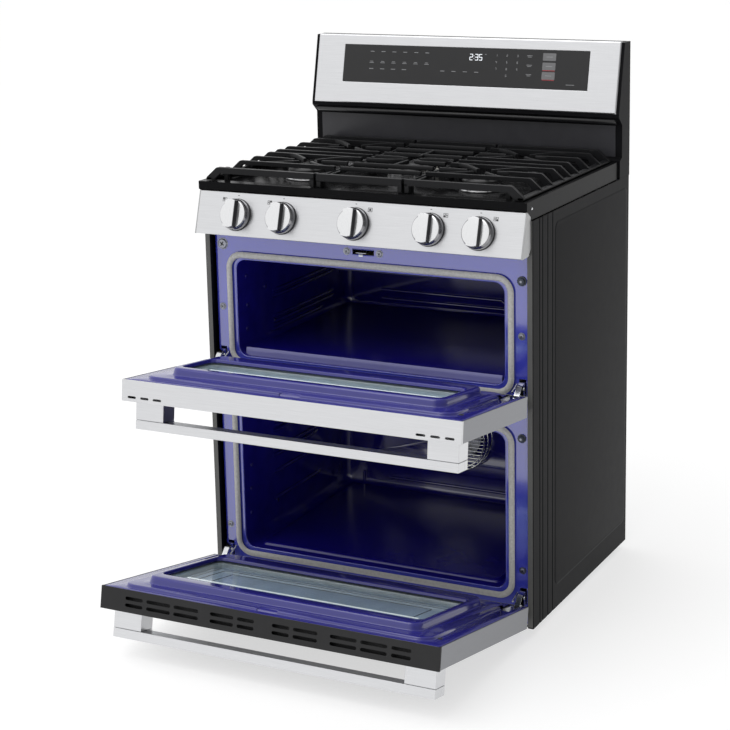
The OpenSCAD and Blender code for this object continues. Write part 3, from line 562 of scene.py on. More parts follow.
def door_windows(door):
    """Inner pane with the spacer frames and middle pane behind it, the middle pane's pale blue a painted
    reflection, a glowing strip of painted glint, and the dark front pane.
    """
    face, out = door.high.y, door.low.y
    half, z0, z1, r = door.window
    inner = [upright(half + 7, z0 - 7, z1 + 7, r, face + y) for y in (11, 15)]
    middle = [upright(half + 3, z0 - 3, z1 + 3, r, face + y) for y in (-3, 0)]
    door.add("_inner_pane", [loops(inner)], "clear_glass", GLASS, ["_door_glass"])
    # The middle pane is opaque, and its pale blue is a painted reflection.
    door.add("_middle_pane", [loops(middle)], "clear_glass", MIDDLE_PANE_PAINTED_REFLECTION)
    lines = []
    for inset, line in ((10, 2), (28, 3), (60, 2.6)):
        outer = (half - inset, z0 + inset * 0.7, z1 - inset * 0.7, 3)
        section = ((0, 0.05), (0, 0.35), (-line, 0.35), (-line, 0.05), (0, 0.05))
        lines.append(loops([upright(*grown(outer, d), face + y) for d, y in section], False, False))
    door.add("_pane_border", lines, "black_glass", BLACK_GLASS, crease=30)
    # Painted glint: a glowing white strip under the inner pane in place of the bright reflected line in the
    # window.
    near = z1 - (62 if door is UPPER else 52)
    glint_strip = wide(half - 30, face + 10.1, face + 10.8, near - 8, near)
    door.add("_pane_painted_glint", [glint_strip], "bright_steel", GLINT_PAINTED, bevel=0.4)
    spacers = []
    for y0, y1, grow in ((0.4, 10.6, 1), (out - face + 5, -3.4, -2)):
        rect = (half + grow, z0 - grow, z1 + grow, r)
        section = ((5, y0), (5, y1), (0, y1), (-0.5, y1 - 3), (-0.5, y0 + 3), (0, y0), (5, y0))
        spacers.append(loops([upright(*grown(rect, d), face + y) for d, y in section], False, False))
    door.add("_pane_spacers", spacers, "galvanised", SPACER, crease=50)
    low, high = door.front_window
    front = [upright(285, low - 14, high + 14, 8, out + y) for y in (1.3, 4.2)]
    door.add("_front_pane", [loops(front)], "black_glass", BLACK_GLASS, bevel=0.4)


def cap_plate(door, slots, rows, r, slot, look):
    """Plate over a door's top edge, pierced by rows of slots and turned down at its front and ends."""
    face, out, top = door.high.y + 0.3, door.low.y - 0.8, door.top
    half = door.high.x
    edge = half + 0.8
    holes = [slot_outline(side * x, door.high.y - row, length, r)
             for side in (-1, 1) for x, length in slots for row in rows]
    parts = [pierced([(-edge, out), (edge, out), (edge, face), (-edge, face)], holes, top - 1.5, top)]
    parts += both([box((half + 0.05, out, top - 6), (edge, face, top - 1.4))])
    parts.append(wide(edge, out, out + 0.75, top - 6, top - 1.4))
    parts.append(wide(half - 0.5, out + 2.3, face - 1.8, top - 16, top - 15))
    door.add("_cap_plate", parts, slot, look, ["_door_cap"], bevel=0.35)


def handle(door):
    """Flat bar on two posts, with a fine joint line between them."""
    low, high = door.box("_handle")
    bar_deep, bar_high, post_high, post_wide = 19, 29, 43, 66
    bar_back, bar_low, post_low = low.y + bar_deep, high.z - bar_high, high.z - post_high
    parts = [box((low.x, low.y, bar_low), (high.x, bar_back, high.z))]
    for side in (-1, 1):
        x0, x1 = sorted((side * (high.x - post_wide), side * high.x))
        parts.append(box((x0 + 0.3, bar_back + 0.5, post_low), (x1 - 0.3, high.y, high.z - 0.3)))
        parts.append(box((x0 + 2, bar_back - 1, bar_low + 1), (x1 - 2, bar_back + 1, high.z - 2)))
        parts.append(box((x0, low.y, post_low), (x1, bar_back, bar_low - 0.4)))
    door.add("_handle_bar", parts, "stainless", STAINLESS, ["_handle"], bevel=1.1)


def hinge_links():
    """Bright channels from the frame's slots to the pins in the doors, with riveted heads."""
    rivet = [(0, -8.6), (2.2, -8.3), (3.6, -7.2), (3.8, -6), (3.8, 6), (3.6, 7.2), (2.2, 8.3), (0, 8.6)]
    parts = []
    for door in (UPPER, LOWER):
        py, pz = door.pivot.y, door.pivot.z
        cheek = [(py - 5, pz + 5), (py - 6.5, pz), (py - 3, pz - 6), (py + 4.4, pz - 6.2), (FRAME_Y, pz + 26),
                 (FRAME_Y + 3, pz + 30), (FRAME_Y + 3, pz + 50), (FRAME_Y - 6, pz + 50), (py + 30, pz + 43)]
        web = [(py - 5, pz + 5), (py + 30, pz + 43), (FRAME_Y - 6, pz + 50), (FRAME_Y + 3, pz + 50),
               (FRAME_Y + 3, pz + 48), (FRAME_Y - 5, pz + 48), (py + 31, pz + 41), (py - 4, pz + 3)]
        made = [prism(cheek, x, x + 1.8) for x in (HINGE_X - 6, HINGE_X + 4.2)]
        made.append(prism(web, HINGE_X - 5.5, HINGE_X + 5.5))
        for y, z in ((FRAME_Y - 8, pz + 38), (py + 24, pz + 27)):
            made.append(lathe(rivet, (HINGE_X, y, z), "X", 16))
        link = [(FRAME_Y - 2, pz + 44), (FRAME_Y - 10, pz + 40), (py + 26, pz + 33.5)]
        parts += both(made)
        for x in (-HINGE_X + 13, HINGE_X - 13):
            parts.append(tube([(x, y, z) for y, z in link], 3.4, 10, squash=0.6))
    piece("hinge_links", parts, "root", "bright_steel", BRIGHT, ["hinge_arms"], bevel=0.5)


def hinge_plates(door):
    """Door-side cheeks and the screwed plates on the inner panel."""
    face, py, pz = door.high.y, door.pivot.y, door.pivot.z
    plate_x = HINGE_X - 18.5
    plate = rounded(7.5, pz + 62, pz + 98, 3, centre=plate_x)
    parts = [box((x, py - 7, pz - 11), (x + 3.4, face - 1.3, pz + 60)) for x in (HINGE_X - 12.5, HINGE_X + 9)]
    parts.append(loops([[Vector((u, face + y, v)) for u, v in plate] for y in (0, 1.5)]))
    for z in (pz + 70, pz + 90):
        parts.append(lathe([(0, 3.2), (2.4, 2.9), (3.6, 1.4)], (plate_x, face, z), "Y", 16))
    pins = [lathe([(4, -12.6), (4, 12.4)], (x, py, pz), "X", 20) for x in (-HINGE_X, HINGE_X)]
    door.add("_hinge_plates", both(parts) + pins, "bright_steel", BRIGHT, ["_hinges"], bevel=0.3)


def slot_outline(x, y, length, r):
    """Slot with round ends, its straight part as long as given."""
    return sweep((x + length / 2, y), r, -90, 90, 6) + sweep((x - length / 2, y), r, 90, 270, 6)


def pierced(outline, holes, low, high):
    """Level plate with holes through it: the outlines are in (X, Y)."""
    build = bmesh.new()
    edges = []
    for loop in [outline] + holes:
        made = [build.verts.new((x, y, low)) for x, y in loop]
        edges += [build.edges.new((made[i - 1], made[i])) for i in range(len(made))]
    bmesh.ops.triangle_fill(build, edges=edges, use_beauty=True)
    faces = list(build.faces)
    lifted = bmesh.ops.extrude_face_region(build, geom=faces)["geom"]
    for v in lifted:
        if isinstance(v, bmesh.types.BMVert):
            v.co.z = high
    build.verts.index_update()
    part = [v.co.copy() for v in build.verts], [tuple(v.index for v in f.verts) for f in build.faces]
    build.free()
    return part


# ---- Cabinet front and ovens ----

def frame_sheet():
    """Enamelled sheet round both mouths, with slots for the hinges and the latch, and its folded sides."""
    low, high = box_mm("front_frame")
    half, z0, z1 = high.x, low.z, high.z
    slots = [(-30, 20, 776, 787)]
    for door in (UPPER, LOWER):
        slots += [(x - 7.5, x + 7.5, door.pivot.z + 21, door.pivot.z + 55) for x in (-HINGE_X, HINGE_X)]
    holes = [[(left, down), (right, down), (right, up), (left, up)] for left, right, down, up in slots]
    holes += [rounded(*opening) for opening in (UPPER_MOUTH, LOWER_MOUTH)]
    sheet = pierced([(-half, z0), (half, z0), (half, z1), (-half, z1)], holes, -FRAME_Y - 2, -FRAME_Y)
    parts = [moved(sheet, Matrix.Rotation(math.pi / 2, 4, "X"))]
    parts += both([box((half - 1.2, FRAME_Y + 2.1, z0), (half, high.y, z1))])
    for opening in (UPPER_MOUTH, LOWER_MOUTH):
        bead = [(x, FRAME_Y + 0.8, z) for x, z in rounded(*grown(opening, -0.7), arc=8)]
        parts.append(tube(bead, 1.5, 8, closed=True))
    piece("frame_sheet", parts, "root", "frame_enamel", ENAMEL, ["front_frame"], bevel=0.5)


def gasket(name, opening, replaces=()):
    """Woven tube round a mouth, flattened against the frame, with a seam at its lower middle."""
    half, z0, z1, r = opening
    low, radius, squash = z0 - 11.5, 4.7, 1.38
    marks = range(-280, 281, 40)
    path = [Vector((x, FRAME_Y, z)) for x, z in rounded(half + 13.5, low, z1 + 9.5, r + 6, marks, arc=10)]
    section = [(6.2 * math.cos(a) * (1 + 0.08 * math.cos(4 * a)), radius + 4.3 * math.sin(a))
               for a in (2 * math.pi * k / 14 for k in range(14))]
    rings = []
    for i, p in enumerate(path):
        along = (path[(i + 1) % len(path)] - path[i - 1]).normalized()
        out = along.cross(Vector((0, 1, 0)))
        rings.append([p + out * u - Vector((0, v, 0)) for u, v in section])
    sleeve = [(4, -9), (radius, -8), (radius, -0.6), (4.3, 0), (radius, 0.6), (radius, 8), (4, 9)]
    seam = moved(lathe(sleeve, (0, FRAME_Y - radius, 0), "X", 16), Matrix.Diagonal((1, 1, squash, 1)))
    seam = moved(seam, Matrix.Translation((0, 0, low)))
    piece(name, [loops(rings + rings[:1], False, False), seam], "root", "gasket", BRAID, replaces, crease=60)


def screw(centre, r, height):
    """Domed head facing the front, and the two bars of its cross recess, which stand proud of the dome as
    painted shade instead of a cut hollow.
    """
    dome = [(0, -height), (r * 0.45, -height), (r * 0.85, -height * 0.8), (r, -height * 0.35), (r, 0),
            (0, 0.5)]
    recess_shade_bar = box((-r * 0.5, -height - 0.15, -r * 0.11), (r * 0.5, -height + 0.4, r * 0.11))
    turns = [Matrix.Translation(centre) @ Matrix.Rotation(math.radians(a), 4, "Y") for a in (35, 125)]
    return lathe(dome, centre, "Y", 28), [moved(recess_shade_bar, turn) for turn in turns]


def frame_fixings():
    """Screws, bumpers and their washers on the front frame."""
    heads, recess_shades, pads = [], [], []
    for x, z, r in ((-349, 636, 6), (349, 636, 6), (-350, 137, 6), (350, 137, 6), (-43, 781, 6.5),
                    (33, 781, 6.5), (-344, 775, 11)):
        centre = (x, FRAME_Y, z)
        head, cross = screw(centre, r, 3 if r < 10 else 4)
        recess_shades += cross
        washer = [(r * 0.6, -0.9), (r + 1.6, -0.8), (r + 2, 0), (r * 0.6, 0.2)]
        heads += [head, lathe(washer, centre, "Y", 28)]
    for x, z, r in ((350, 750, 10), (349, 422, 9), (-349, 422, 9)):
        centre = (x, FRAME_Y, z)
        pad = [(0, -7.4), (r - 4.5, -7.6), (r - 3, -6.6), (r - 2.4, -3), (r, -2.4), (r, 0), (0, 0.4)]
        pads.append(lathe(pad, centre, "Y", 28))
        heads.append(lathe([(0, -7.9), (2.4, -7.9), (2.8, -7.2), (0, -7)], centre, "Y", 20))
    piece("frame_screw_heads", heads, "root", "bright_steel", SCREW, ["frame_screws"])
    # The cross recesses are dark bars on the heads: painted shade in place of cut hollows.
    piece("frame_screw_recess_shade", recess_shades, "root", "foot_plastic", RUBBER)
    piece("frame_bumpers", pads, "root", "foot_plastic", BUMPER)


def latch():
    """Hooked lever of the door latch, reaching out of its slot."""
    x = -5
    lever = prism([(6, 778.2), (4, 777.5), (3, 775), (3, 774.5), (5, 774.6), (6.2, 776.4), (8, 778),
                   (46, 778), (46, 780.8), (7, 780.8), (4.6, 780.4), (3.1, 778.6)], x - 5, x + 5)
    hub = lathe([(3.2, 778), (8, 778), (8, 781), (3.2, 781)], (x, 48, 0), "Z", 24)
    tab = prism([(-14, 3.4), (4, 3.4), (7, 5), (7, 8.6), (-17, 8.6), (-17, 5)], 781.2, 782.4, axis="Z")
    piece("latch_lever", [lever, hub, tab], "latch", "bright_steel", BRIGHT, ["latch_hook"], bevel=0.4)
    lips = [tube([(-30, FRAME_Y - 0.4, z), (20, FRAME_Y - 0.4, z)], 0.9, 8) for z in (775.2, 787.3)]
    piece("latch_slot_lips", lips, "root", "frame_enamel", ENAMEL)


def cavity(name, opening, emboss, ribs, ledges, studs):
    """Glossy oven box with rounded corners, rack ledges on its sides and pressed shapes on its back."""
    half, z0, z1, r = opening
    inner = (half - 2, z0 + 2, z1 - 2, r - 1.2)
    wall = inner[0]
    front, back = FRAME_Y + 2, box_mm(name + "_cavity")[1].y - 1.2
    steps = [(inner, 1.2, back + 1.2), (inner, 1.2, front + 1.2), (inner, 17, front + 1.2),
             (inner, 17, front),
             (inner, 1, front), (inner, 0, front + 1.5), (inner, 0, back - 22), (inner, -1, back - 14),
             (inner, -4, back - 7), (inner, -9, back - 2), (inner, -16, back),
             (emboss, 3, back), (emboss, 1, back - 0.6), (emboss, -1, back - 3.4), (emboss, -3, back - 4)]
    parts = [loops([upright(*grown(rect, d), y, arc=10) for rect, d, y in steps])]
    for side in (-1, 1):
        for z, y0, y1 in ledges:
            path = [(3, y0 - 14), (0, y0), (-1.5, y0 + 10), (-1.5, y1 - 10), (0, y1), (3, y1 + 14)]
            parts.append(tube([(side * (wall + out), y, z) for out, y in path], 4.6, 12))
        for y, z in studs:
            stud = lathe([(0, -7), (3, -6.4), (4.6, -4), (5.2, -1), (5.2, 2)], axis="X", n=16)
            place = Matrix.Translation((side * wall, y, z)) @ Matrix.Scale(-side, 4, (1, 0, 0))
            parts.append(moved(stud, place))
    for path, radius in ribs:
        parts.append(tube([(x, back - (5 if inside else 1), z) for x, z, inside in path], radius, 10))
    return piece(name + "_oven_box", parts, "root", "cavity_enamel", DEEP_ENAMEL, [name + "_cavity"],
                 crease=50)


def shaft_hole(oven):
    """Bore for the fan's shaft through the lower oven's back."""
    low, high = box_mm("fan_guard")
    back = box_mm("lower_cavity")[1].y
    middle = (0, 0, (low.z + high.z) / 2)
    cut(oven, [lathe([(SHAFT_HOLE, back - 30), (SHAFT_HOLE, back + 30)], middle, "Y", 32)], IN_PLACE)


def oven_floor():
    """Floor plates: the upper one has a raised front lip that shows above the door."""
    half, z0 = UPPER_MOUTH[0] - 13, UPPER_MOUTH[1] + 2
    back = box_mm("upper_cavity")[1].y
    lip = [(25.6, z0), (26, z0 + 8), (26.6, z0 + 15), (28, z0 + 17), (30, z0 + 17), (32, z0 + 15),
           (33, z0 + 11)]
    # The lip's pale lavender is painted reflection on the same blue enamel.
    piece("upper_floor_lip", [prism(folded(lip, 1.2), -half, half)], "root", "frame_enamel", LIP)
    plate = folded([(33, z0 + 11), (back - 12, z0 + 11), (back - 9, z0 + 9), (back - 9, z0)], 1.2)
    half_low, z_low = LOWER_MOUTH[0] - 30, LOWER_MOUTH[1] + 2
    back_low = box_mm("lower_cavity")[1].y - 14
    pan = [level(half_low + d, 40 - d, back_low + d, 12, z_low + z)
           for d, z in ((3, 0), (2, 3), (0, 5), (-4, 5.4))]
    piece("oven_floor_plates", [prism(plate, -half, half), loops(pan)], "root", "frame_enamel", FLOOR_ENAMEL,
          ["oven_floors"], crease=40)


def fan_cage():
    """Convection fan's wire guard: hoops joined by level wires and short stays."""
    low, high = box_mm("fan_guard")
    z, r = (low.z + high.z) / 2, (high.z - low.z) / 2 - 2
    hoops = ((r, high.y - 3), (r, low.y + 9), (r - 7, low.y + 2))
    parts = [tube(circle((0, y, z), radius, n=48), 1.7, 8, closed=True) for radius, y in hoops]
    wires, pitch = 8, 8.6
    for i in range(-wires, wires + 1):
        h = i * pitch
        w = math.sqrt(max((r - 1) ** 2 - h * h, 1))
        bend = [(-w, 10), (-w * 0.94, 3), (-w * 0.8, 1.6), (w * 0.8, 1.6), (w * 0.94, 3), (w, 10)]
        parts.append(tube([(x, low.y + y, z + h) for x, y in bend], 1.25, 8))
    for u, v in sweep((0, z), r, 15, 345, 11):
        parts.append(tube([(u, low.y + 9, v), (u, high.y, v)], 1.5, 8))
    piece("fan_wire_guard", parts, "root", "bright_steel", BRIGHT, ["fan_guard"])


# ---- Hob ----

def hob_bowl():
    """Soft inner edge of the well, and the folded corners beside the control panel."""
    high = box_mm("cooktop")[1]
    half = high.x - 18.2
    section = ((2.4, -1.4), (2.2, 0), (1.2, 0.3), (0, -0.2), (-2, -2), (-4.5, -6), (-7, -9.4), (-11, -11.3),
               (-16, -11.8), (-16, -12.6), (-1, -12.6))
    rings = [level(half + d, 3.2 - d, high.y - 13.2 + d, 20 + d, HOB_TOP + z, arc=8) for d, z in section]
    corner = [(-22, 899), (-18.2, 897.3), (-1, 885.2), (-1, 878.2), (17.5, 878.2), (17.5, 900), (-22, 900)]
    parts = [loops(rings + rings[:1], False, False)] + both([prism(corner, high.x - 1.2, high.x)])
    piece("hob_edges", parts, "root", "hob_enamel", BLACK_ENAMEL)
    screws = both([lathe([(0, 1.6), (2, 1.4), (3, 0.4), (3, 0)], (high.x, 3, 901), "X", 16)])
    piece("hob_side_screws", screws, "root", "bright_steel", BRIGHT)


def burner(x, y, z):
    """Toothed aluminium head on its base ring."""
    base = [(20, -30), (20, 0), (49, 0), (50, 1), (50, 3), (48.5, 4.2), (44, 4.6), (41, 5.4), (39, 6),
            (30, 6)]
    steps = 4 * 36
    rings = []
    for h, gap_r, tooth_r in ((5, 37.4, 38), (7, 35, 38), (12, 35, 38), (13, 37.2, 38), (18, 37.5, 38.3)):
        gaps = sweep((x, y), gap_r, 0, 360, steps)[:-1]
        teeth = sweep((x, y), tooth_r, 0, 360, steps)[:-1]
        rings.append([Vector((*(gaps if k % 4 > 1 else teeth)[k], z + h)) for k in range(steps)])
    return [lathe(base, (x, y, z), "Z", 64), loops(rings)]


def oblong(y, wide_by, long_by, z):
    """Level oblong ring with round ends, long way front to back."""
    r = wide_by / 2
    reach = long_by / 2 - r
    outline = sweep((0, y + reach), r, 0, 180, 12) + sweep((0, y - reach), r, 180, 360, 12)
    return [Vector((u, v, z)) for u, v in outline]


def burners():
    z = box_mm("grate_left")[0].z - 0.2
    lid = [(0, 18), (39.5, 18), (41.6, 18.6), (42, 20), (41.6, 22), (39, 24), (34, 25.2), (20, 25.8), (0, 26)]
    heads, caps = [], []
    for x in (-BURNER_X, BURNER_X):
        for y in (FRONT_BURNER, REAR_BURNER):
            heads += burner(x, y, z)
            caps.append(lathe(lid, (x, y, z), "Z", 56))
    head = ((84, 200, 0), (84, 200, 3), (82, 198, 4.2), (66, 182, 5.4), (62, 178, 7), (62, 178, 18))
    heads.append(loops([oblong(MIDDLE_BURNER, w, l, z + h) for w, l, h in head]))
    for y in range(MIDDLE_BURNER - 63, MIDDLE_BURNER + 64, 7):
        heads += both([box((29.6, y - 1.6, z + 7), (32.4, y + 1.6, z + 14))])
    cap = ((66, 182, 18), (68.5, 184.5, 18.8), (69, 185, 20), (67, 183, 22.6), (60, 176, 24.8),
           (40, 156, 25.7))
    caps.append(loops([oblong(MIDDLE_BURNER, w, l, z + h) for w, l, h in cap]))
    piece("burner_crowns", heads, "root", "aluminium", BURNER_METAL, ["burner_heads"], crease=40)
    piece("burner_lids", caps, "root", "hob_enamel", CAP_ENAMEL, ["burner_caps"], crease=40)


def bar(path, width, height):
    """Flat-sided bar along a path of its top's middle, standing upright."""
    points = [Vector(p) for p in path]
    down, shoulder = Vector((0, 0, -height)), Vector((0, 0, -1.6))
    rings = []
    for i, p in enumerate(points):
        along = points[min(i + 1, len(points) - 1)] - points[max(i - 1, 0)]
        w = Vector((along.y, -along.x, 0)).normalized() * (width / 2)
        rings.append([p + w * 0.72, p + w + shoulder, p + w * 0.92 + down, p - w * 0.92 + down,
                      p - w + shoulder, p - w * 0.72])
    return loops(rings)


def curve(a, b, c, n=6):
    """Smooth bend from a to c, pulled towards b."""
    a, b, c = Vector(a), Vector(b), Vector(c)
    return [a * (1 - t) ** 2 + b * (2 * t * (1 - t)) + c * t * t for t in (k / n for k in range(n + 1))]


def rib_profile(inner, outer, deep=9):
    """Rib in (X, Z): level on top, its outer end sloping down over the hob's rim."""
    top, rim = GRATE_TOP, HOB_TOP
    return [(inner, top - deep), (outer - 28 - deep / 2, top - deep), (outer - 19, rim + 2),
            (outer - 1, rim + 1.6),
            (outer, rim + 3), (outer - 1, rim + 7), (outer - 25, top - 1), (outer - 29, top), (inner, top)]


def grate_feet(low, xs, ys):
    """Posts that stand on the hob."""
    return [box((x, y, low.z), (x + 9, y + 11, GRATE_TOP - 2)) for y in ys for x in xs]


def fingers(burner_y):
    """Bars that reach in over a burner: four bent ones and two straight ones."""
    top, made = GRATE_TOP, []
    for side in (-1, 1):
        for end in (-1, 1):
            wanted = burner_y + end * 50
            start = min(GRATE_RIBS, key=lambda rib: abs(rib - wanted))
            if abs(start - wanted) >= 30:
                start = wanted
            x = BURNER_X
            bend = curve((x + side * 80, start, top), (x + side * 56, start - end * 2, top),
                         (x + side * 15, burner_y + end * 13, top - 1.2), 8)
            made.append(bar([(x + side * 96, start, top - 0.1)] + bend, 7.4, 9))
        straight = [(BURNER_X + side * 66, burner_y, top), (BURNER_X + side * 34, burner_y, top - 0.6)]
        made.append(bar(straight, 7.4, 9))
    return made


def side_grate(name):
    """Grate over two burners: ribs with sloping ends, bent fingers at each burner and an outer rail."""
    low, high = box_mm("grate_right")
    top, rim = GRATE_TOP, HOB_TOP
    x0, x1, y0, y1 = low.x, high.x, low.y, high.y
    profile = rib_profile(x0 + 2, x1)
    parts = [prism(rib_profile(x0, x1, 13), y, y + 11, axis="Y") for y in (y0, y1 - 11)]
    for y in GRATE_RIBS:
        off = min(abs(y - FRONT_BURNER), abs(y - REAR_BURNER))
        if off < 50:
            gap = math.sqrt(62 ** 2 - off ** 2)
            outer = [(BURNER_X + gap + 2, top - 9)] + profile[1:-1] + [(BURNER_X + gap - 4, top)]
            parts.append(prism(outer, y - 4, y + 4, axis="Y"))
            parts.append(bar([(x0 + 4, y, top), (BURNER_X - gap, y, top)], 8, 9))
        else:
            parts.append(prism(profile, y - 4, y + 4, axis="Y"))
    parts += fingers(FRONT_BURNER) + fingers(REAR_BURNER)
    parts.append(box((x0, y0, top - 15), (x0 + 7, y1, top - 9)))
    rail = [(x1 - 13, rim + 1.6), (x1 - 1, rim + 1.6), (x1, rim + 2.6), (x1, rim + 5), (x1 - 2, rim + 6.6),
            (x1 - 11, rim + 7.6), (x1 - 13, rim + 6)]
    parts.append(prism(rail, y0, y1, axis="Y"))
    parts.append(box((x0 + 0.3, y0 + 0.3, rim + 1.4), (x0 + 10, y0 + 10, top - 6)))
    middle = (FRONT_BURNER + REAR_BURNER) / 2
    parts += grate_feet(low, (x0 + 0.5, x1 - 44), (y0 + 16, middle, y1 - 12))
    if name == "grate_left":
        parts = [mirrored(p) for p in parts]
    piece(name + "_bars", parts, name, "iron", IRON, [name], bevel=1.0, crease=50)


def middle_grate():
    """Grate over the long burner: level ribs, with bent ends where they meet it."""
    low, high = box_mm("grate_center")
    top, y0, y1, half = high.z, low.y, high.y, high.x
    middle = MIDDLE_BURNER
    parts = [wide(half, y, y + 11, top - 15, top) for y in (y0, y1 - 11)]
    parts += both([box((half - 7, y0, top - 15), (half, y1, top - 9)),
                   box((half - 10, y0 + 0.3, HOB_TOP + 1.4), (half - 0.3, y0 + 10, top - 6))])
    for y in GRATE_RIBS:
        if abs(y - middle) < 40:
            for s in (-1, 1):
                tip = (s * 14, middle + (y - middle) * 0.5, top - 1.5)
                bend = curve((s * 48, y, top), (s * 34, y, top), tip)
                parts.append(bar([(s * (half - 4), y, top), (s * 52, y, top)] + bend, 8, 9))
        else:
            parts.append(bar([(4 - half, y, top), (half - 4, y, top)], 8, 9))
    for s in (-1, 1):
        parts.append(bar([(0, middle + s * 100, top), (0, middle + s * 30, top - 1)], 8, 9))
    parts += grate_feet(low, (0.5 - half, half - 9.5), (y0 + 16, (y0 + y1) / 2, y1 - 12))
    piece("grate_center_bars", parts, "grate_center", "iron", IRON, ["grate_center"], bevel=1.0, crease=50)


# ---- Controls ----

def flat_mark(x, y, w, h, z=0.0):
    """Thin printed rectangle lying on a sloping face."""
    return box((x - w / 2, y - h / 2, z - 0.05), (x + w / 2, y + h / 2, z + 0.12))


def outline_mark(x, y, w, h, line):
    """Printed hollow rectangle."""
    return [flat_mark(x, y + h / 2, w + line, line), flat_mark(x, y - h / 2, w + line, line),
            flat_mark(x - w / 2, y, line, h), flat_mark(x + w / 2, y, line, h)]


def control_marks():
    """Ticks above the knobs and small burner-position signs beside them, one corner filled."""
    parts = []
    for x, side, filled in zip(KNOB_X, (-33, -33, 33, 33, 33), (0, 2, None, 1, 3)):
        parts.append(flat_mark(x, 41 - KNOB_DOWN, 3.4, 1.4))
        sx, sy = x + side, 31 - KNOB_DOWN
        if filled is None:
            parts += outline_mark(sx, sy, 9, 7.5, 1.0) + [flat_mark(sx, sy, 4.4, 4.4)]
            continue
        for k, (dx, dy) in enumerate(((-2.7, 2.2), (-2.7, -2.2), (2.7, 2.2), (2.7, -2.2))):
            if k == filled:
                parts.append(flat_mark(sx + dx, sy + dy, 4.6, 3.8))
            else:
                parts += outline_mark(sx + dx, sy + dy, 4.0, 3.2, 0.8)
    piece("control_marks", [moved(p, CONTROL) for p in parts], "root", "cap_black", MARK)


def grip(z_steps, bore=()):
    """Knob's straight grip with bowed ends; steps are (height, extra width, extra length)."""
    rings = []
    for z, wide_by, long_by in z_steps:
        half, reach = 11.5 + wide_by, KNOB_RADIUS - 3.6 + long_by
        bow = [(half * (1 - k / 4), math.sqrt(reach ** 2 - (half * (1 - k / 4)) ** 2)) for k in range(9)]
        outline = [Vector(p) for p in bow + [(-u, -v) for u, v in bow]]
        rings.append([p.to_3d() + Vector((0, 0, z)) for p in outline])
    inner = [[(p.normalized() * STEM_HOLE).to_3d() + Vector((0, 0, z)) for p in outline] for z in bore]
    return loops(inner + rings)


def knob(number, x):
    """Round knob: domed skirt in painted mid shade with a face painted bright, and a wide straight grip
    across it whose flanks are in painted dark shade and whose front is painted bright.
    """
    at = CONTROL @ Matrix.Translation((x, -KNOB_DOWN, 0))
    name = f"knob_{number}"
    r, base, bore = KNOB_RADIUS, 4.6, 9
    face, front = base + 15, base + 31
    skirt = lathe([(bore, base + 4), (r - 4.5, base), (r - 0.6, base), (r, base + 0.8), (r, base + 5),
                   (r - 0.5, base + 8.5), (r - 1.8, base + 11.5), (r - 3.4, base + 13.8),
                   (r - 4.2, face - 0.5), (bore, face - 0.5), (bore, base + 4)], n=72)
    disc = lathe([(bore, face - 0.4), (r - 4.3, face - 0.4), (r - 4.1, face - 0.2), (r - 4.5, face),
                  (bore, face), (bore, face - 0.4)], n=72)
    body = grip(((face - 0.3, 0.3, 0.6), (face + 1.2, 0, 0), (front - 1.5, -0.1, -0.4)),
                (front - 3, face - 0.3))
    plate = grip(((front - 1.5, 0, -0.3), (front - 0.6, 0, -0.3), (front - 0.15, -0.3, -0.6),
                  (front, -0.9, -1.2)))
    ring = lathe([(r - 6, 0.1), (r + 1.2, 0.1), (r + 1.2, 0.7), (r - 0.8, 1.3), (r - 6, 1.3), (r - 6, 0.1)],
                 n=64)
    # One knob metal in three painted tones: painted highlight on the face and front, painted shade on the
    # skirt and the grip's flanks.
    for part, shapes, look, nodes in (("_skirt", [skirt], KNOB_PAINTED_MID_SHADE, [name]),
                                      ("_face", [disc, plate], KNOB, ()),
                                      ("_grip", [body], KNOB_PAINTED_DARK_SHADE, ())):
        piece(name + part, [moved(p, at) for p in shapes], name, "knob_metal", look, nodes, crease=32)
    piece(name + "_bezel", [moved(ring, at)], "root", "cap_black", MARK)


def control_face():
    """Sloping sheet with holes for the valve stems, rolled over into its two level flanges."""
    half = box_mm("control_panel")[1].x
    slope = CONTROL_TOP - CONTROL_LOW
    length, level_way = slope.length, Vector((slope.x, -slope.y)) / slope.length
    roll, sheet = 3, 1.2
    outline = [(-half, -roll), (half, -roll), (half, roll - length), (-half, roll - length)]
    holes = [sweep((x, -KNOB_DOWN), STEM_HOLE, 0, 360, 24)[:-1] for x in KNOB_X]
    parts = [pierced(outline, holes, -sheet, 0)]
    for edge, sign, reach in ((0, -1, 40), (-length, 1, 45)):
        corner = Vector((edge, 0))
        bend = curve(corner + Vector((sign * roll, 0)), corner, corner + level_way * roll, 8)
        path = [tuple(p) for p in bend + [corner + level_way * reach]]
        parts.append(prism(folded(path, -sign * sheet), -half, half))
    piece("control_sheet", [moved(p, CONTROL) for p in parts], "root", "stainless", STAINLESS,
          ["control_panel"], crease=30, weld=False)


def end_caps():
    """Moulded ends of the control panel, chamfered at their rear corners."""
    half = box_mm("panel_end_caps")[1].x
    top, low = CONTROL_TOP, CONTROL_LOW
    outline = [tuple(top), (-1, top.y - 12), (-1, low.y + 14), (-14, low.y), tuple(low)]
    caps = both([prism(outline, half - 3, half)])
    piece("control_end_caps", caps, "root", "cap_grey", CAP_GREY, ["panel_end_caps"], bevel=0.6)


# ---- Backguard ----

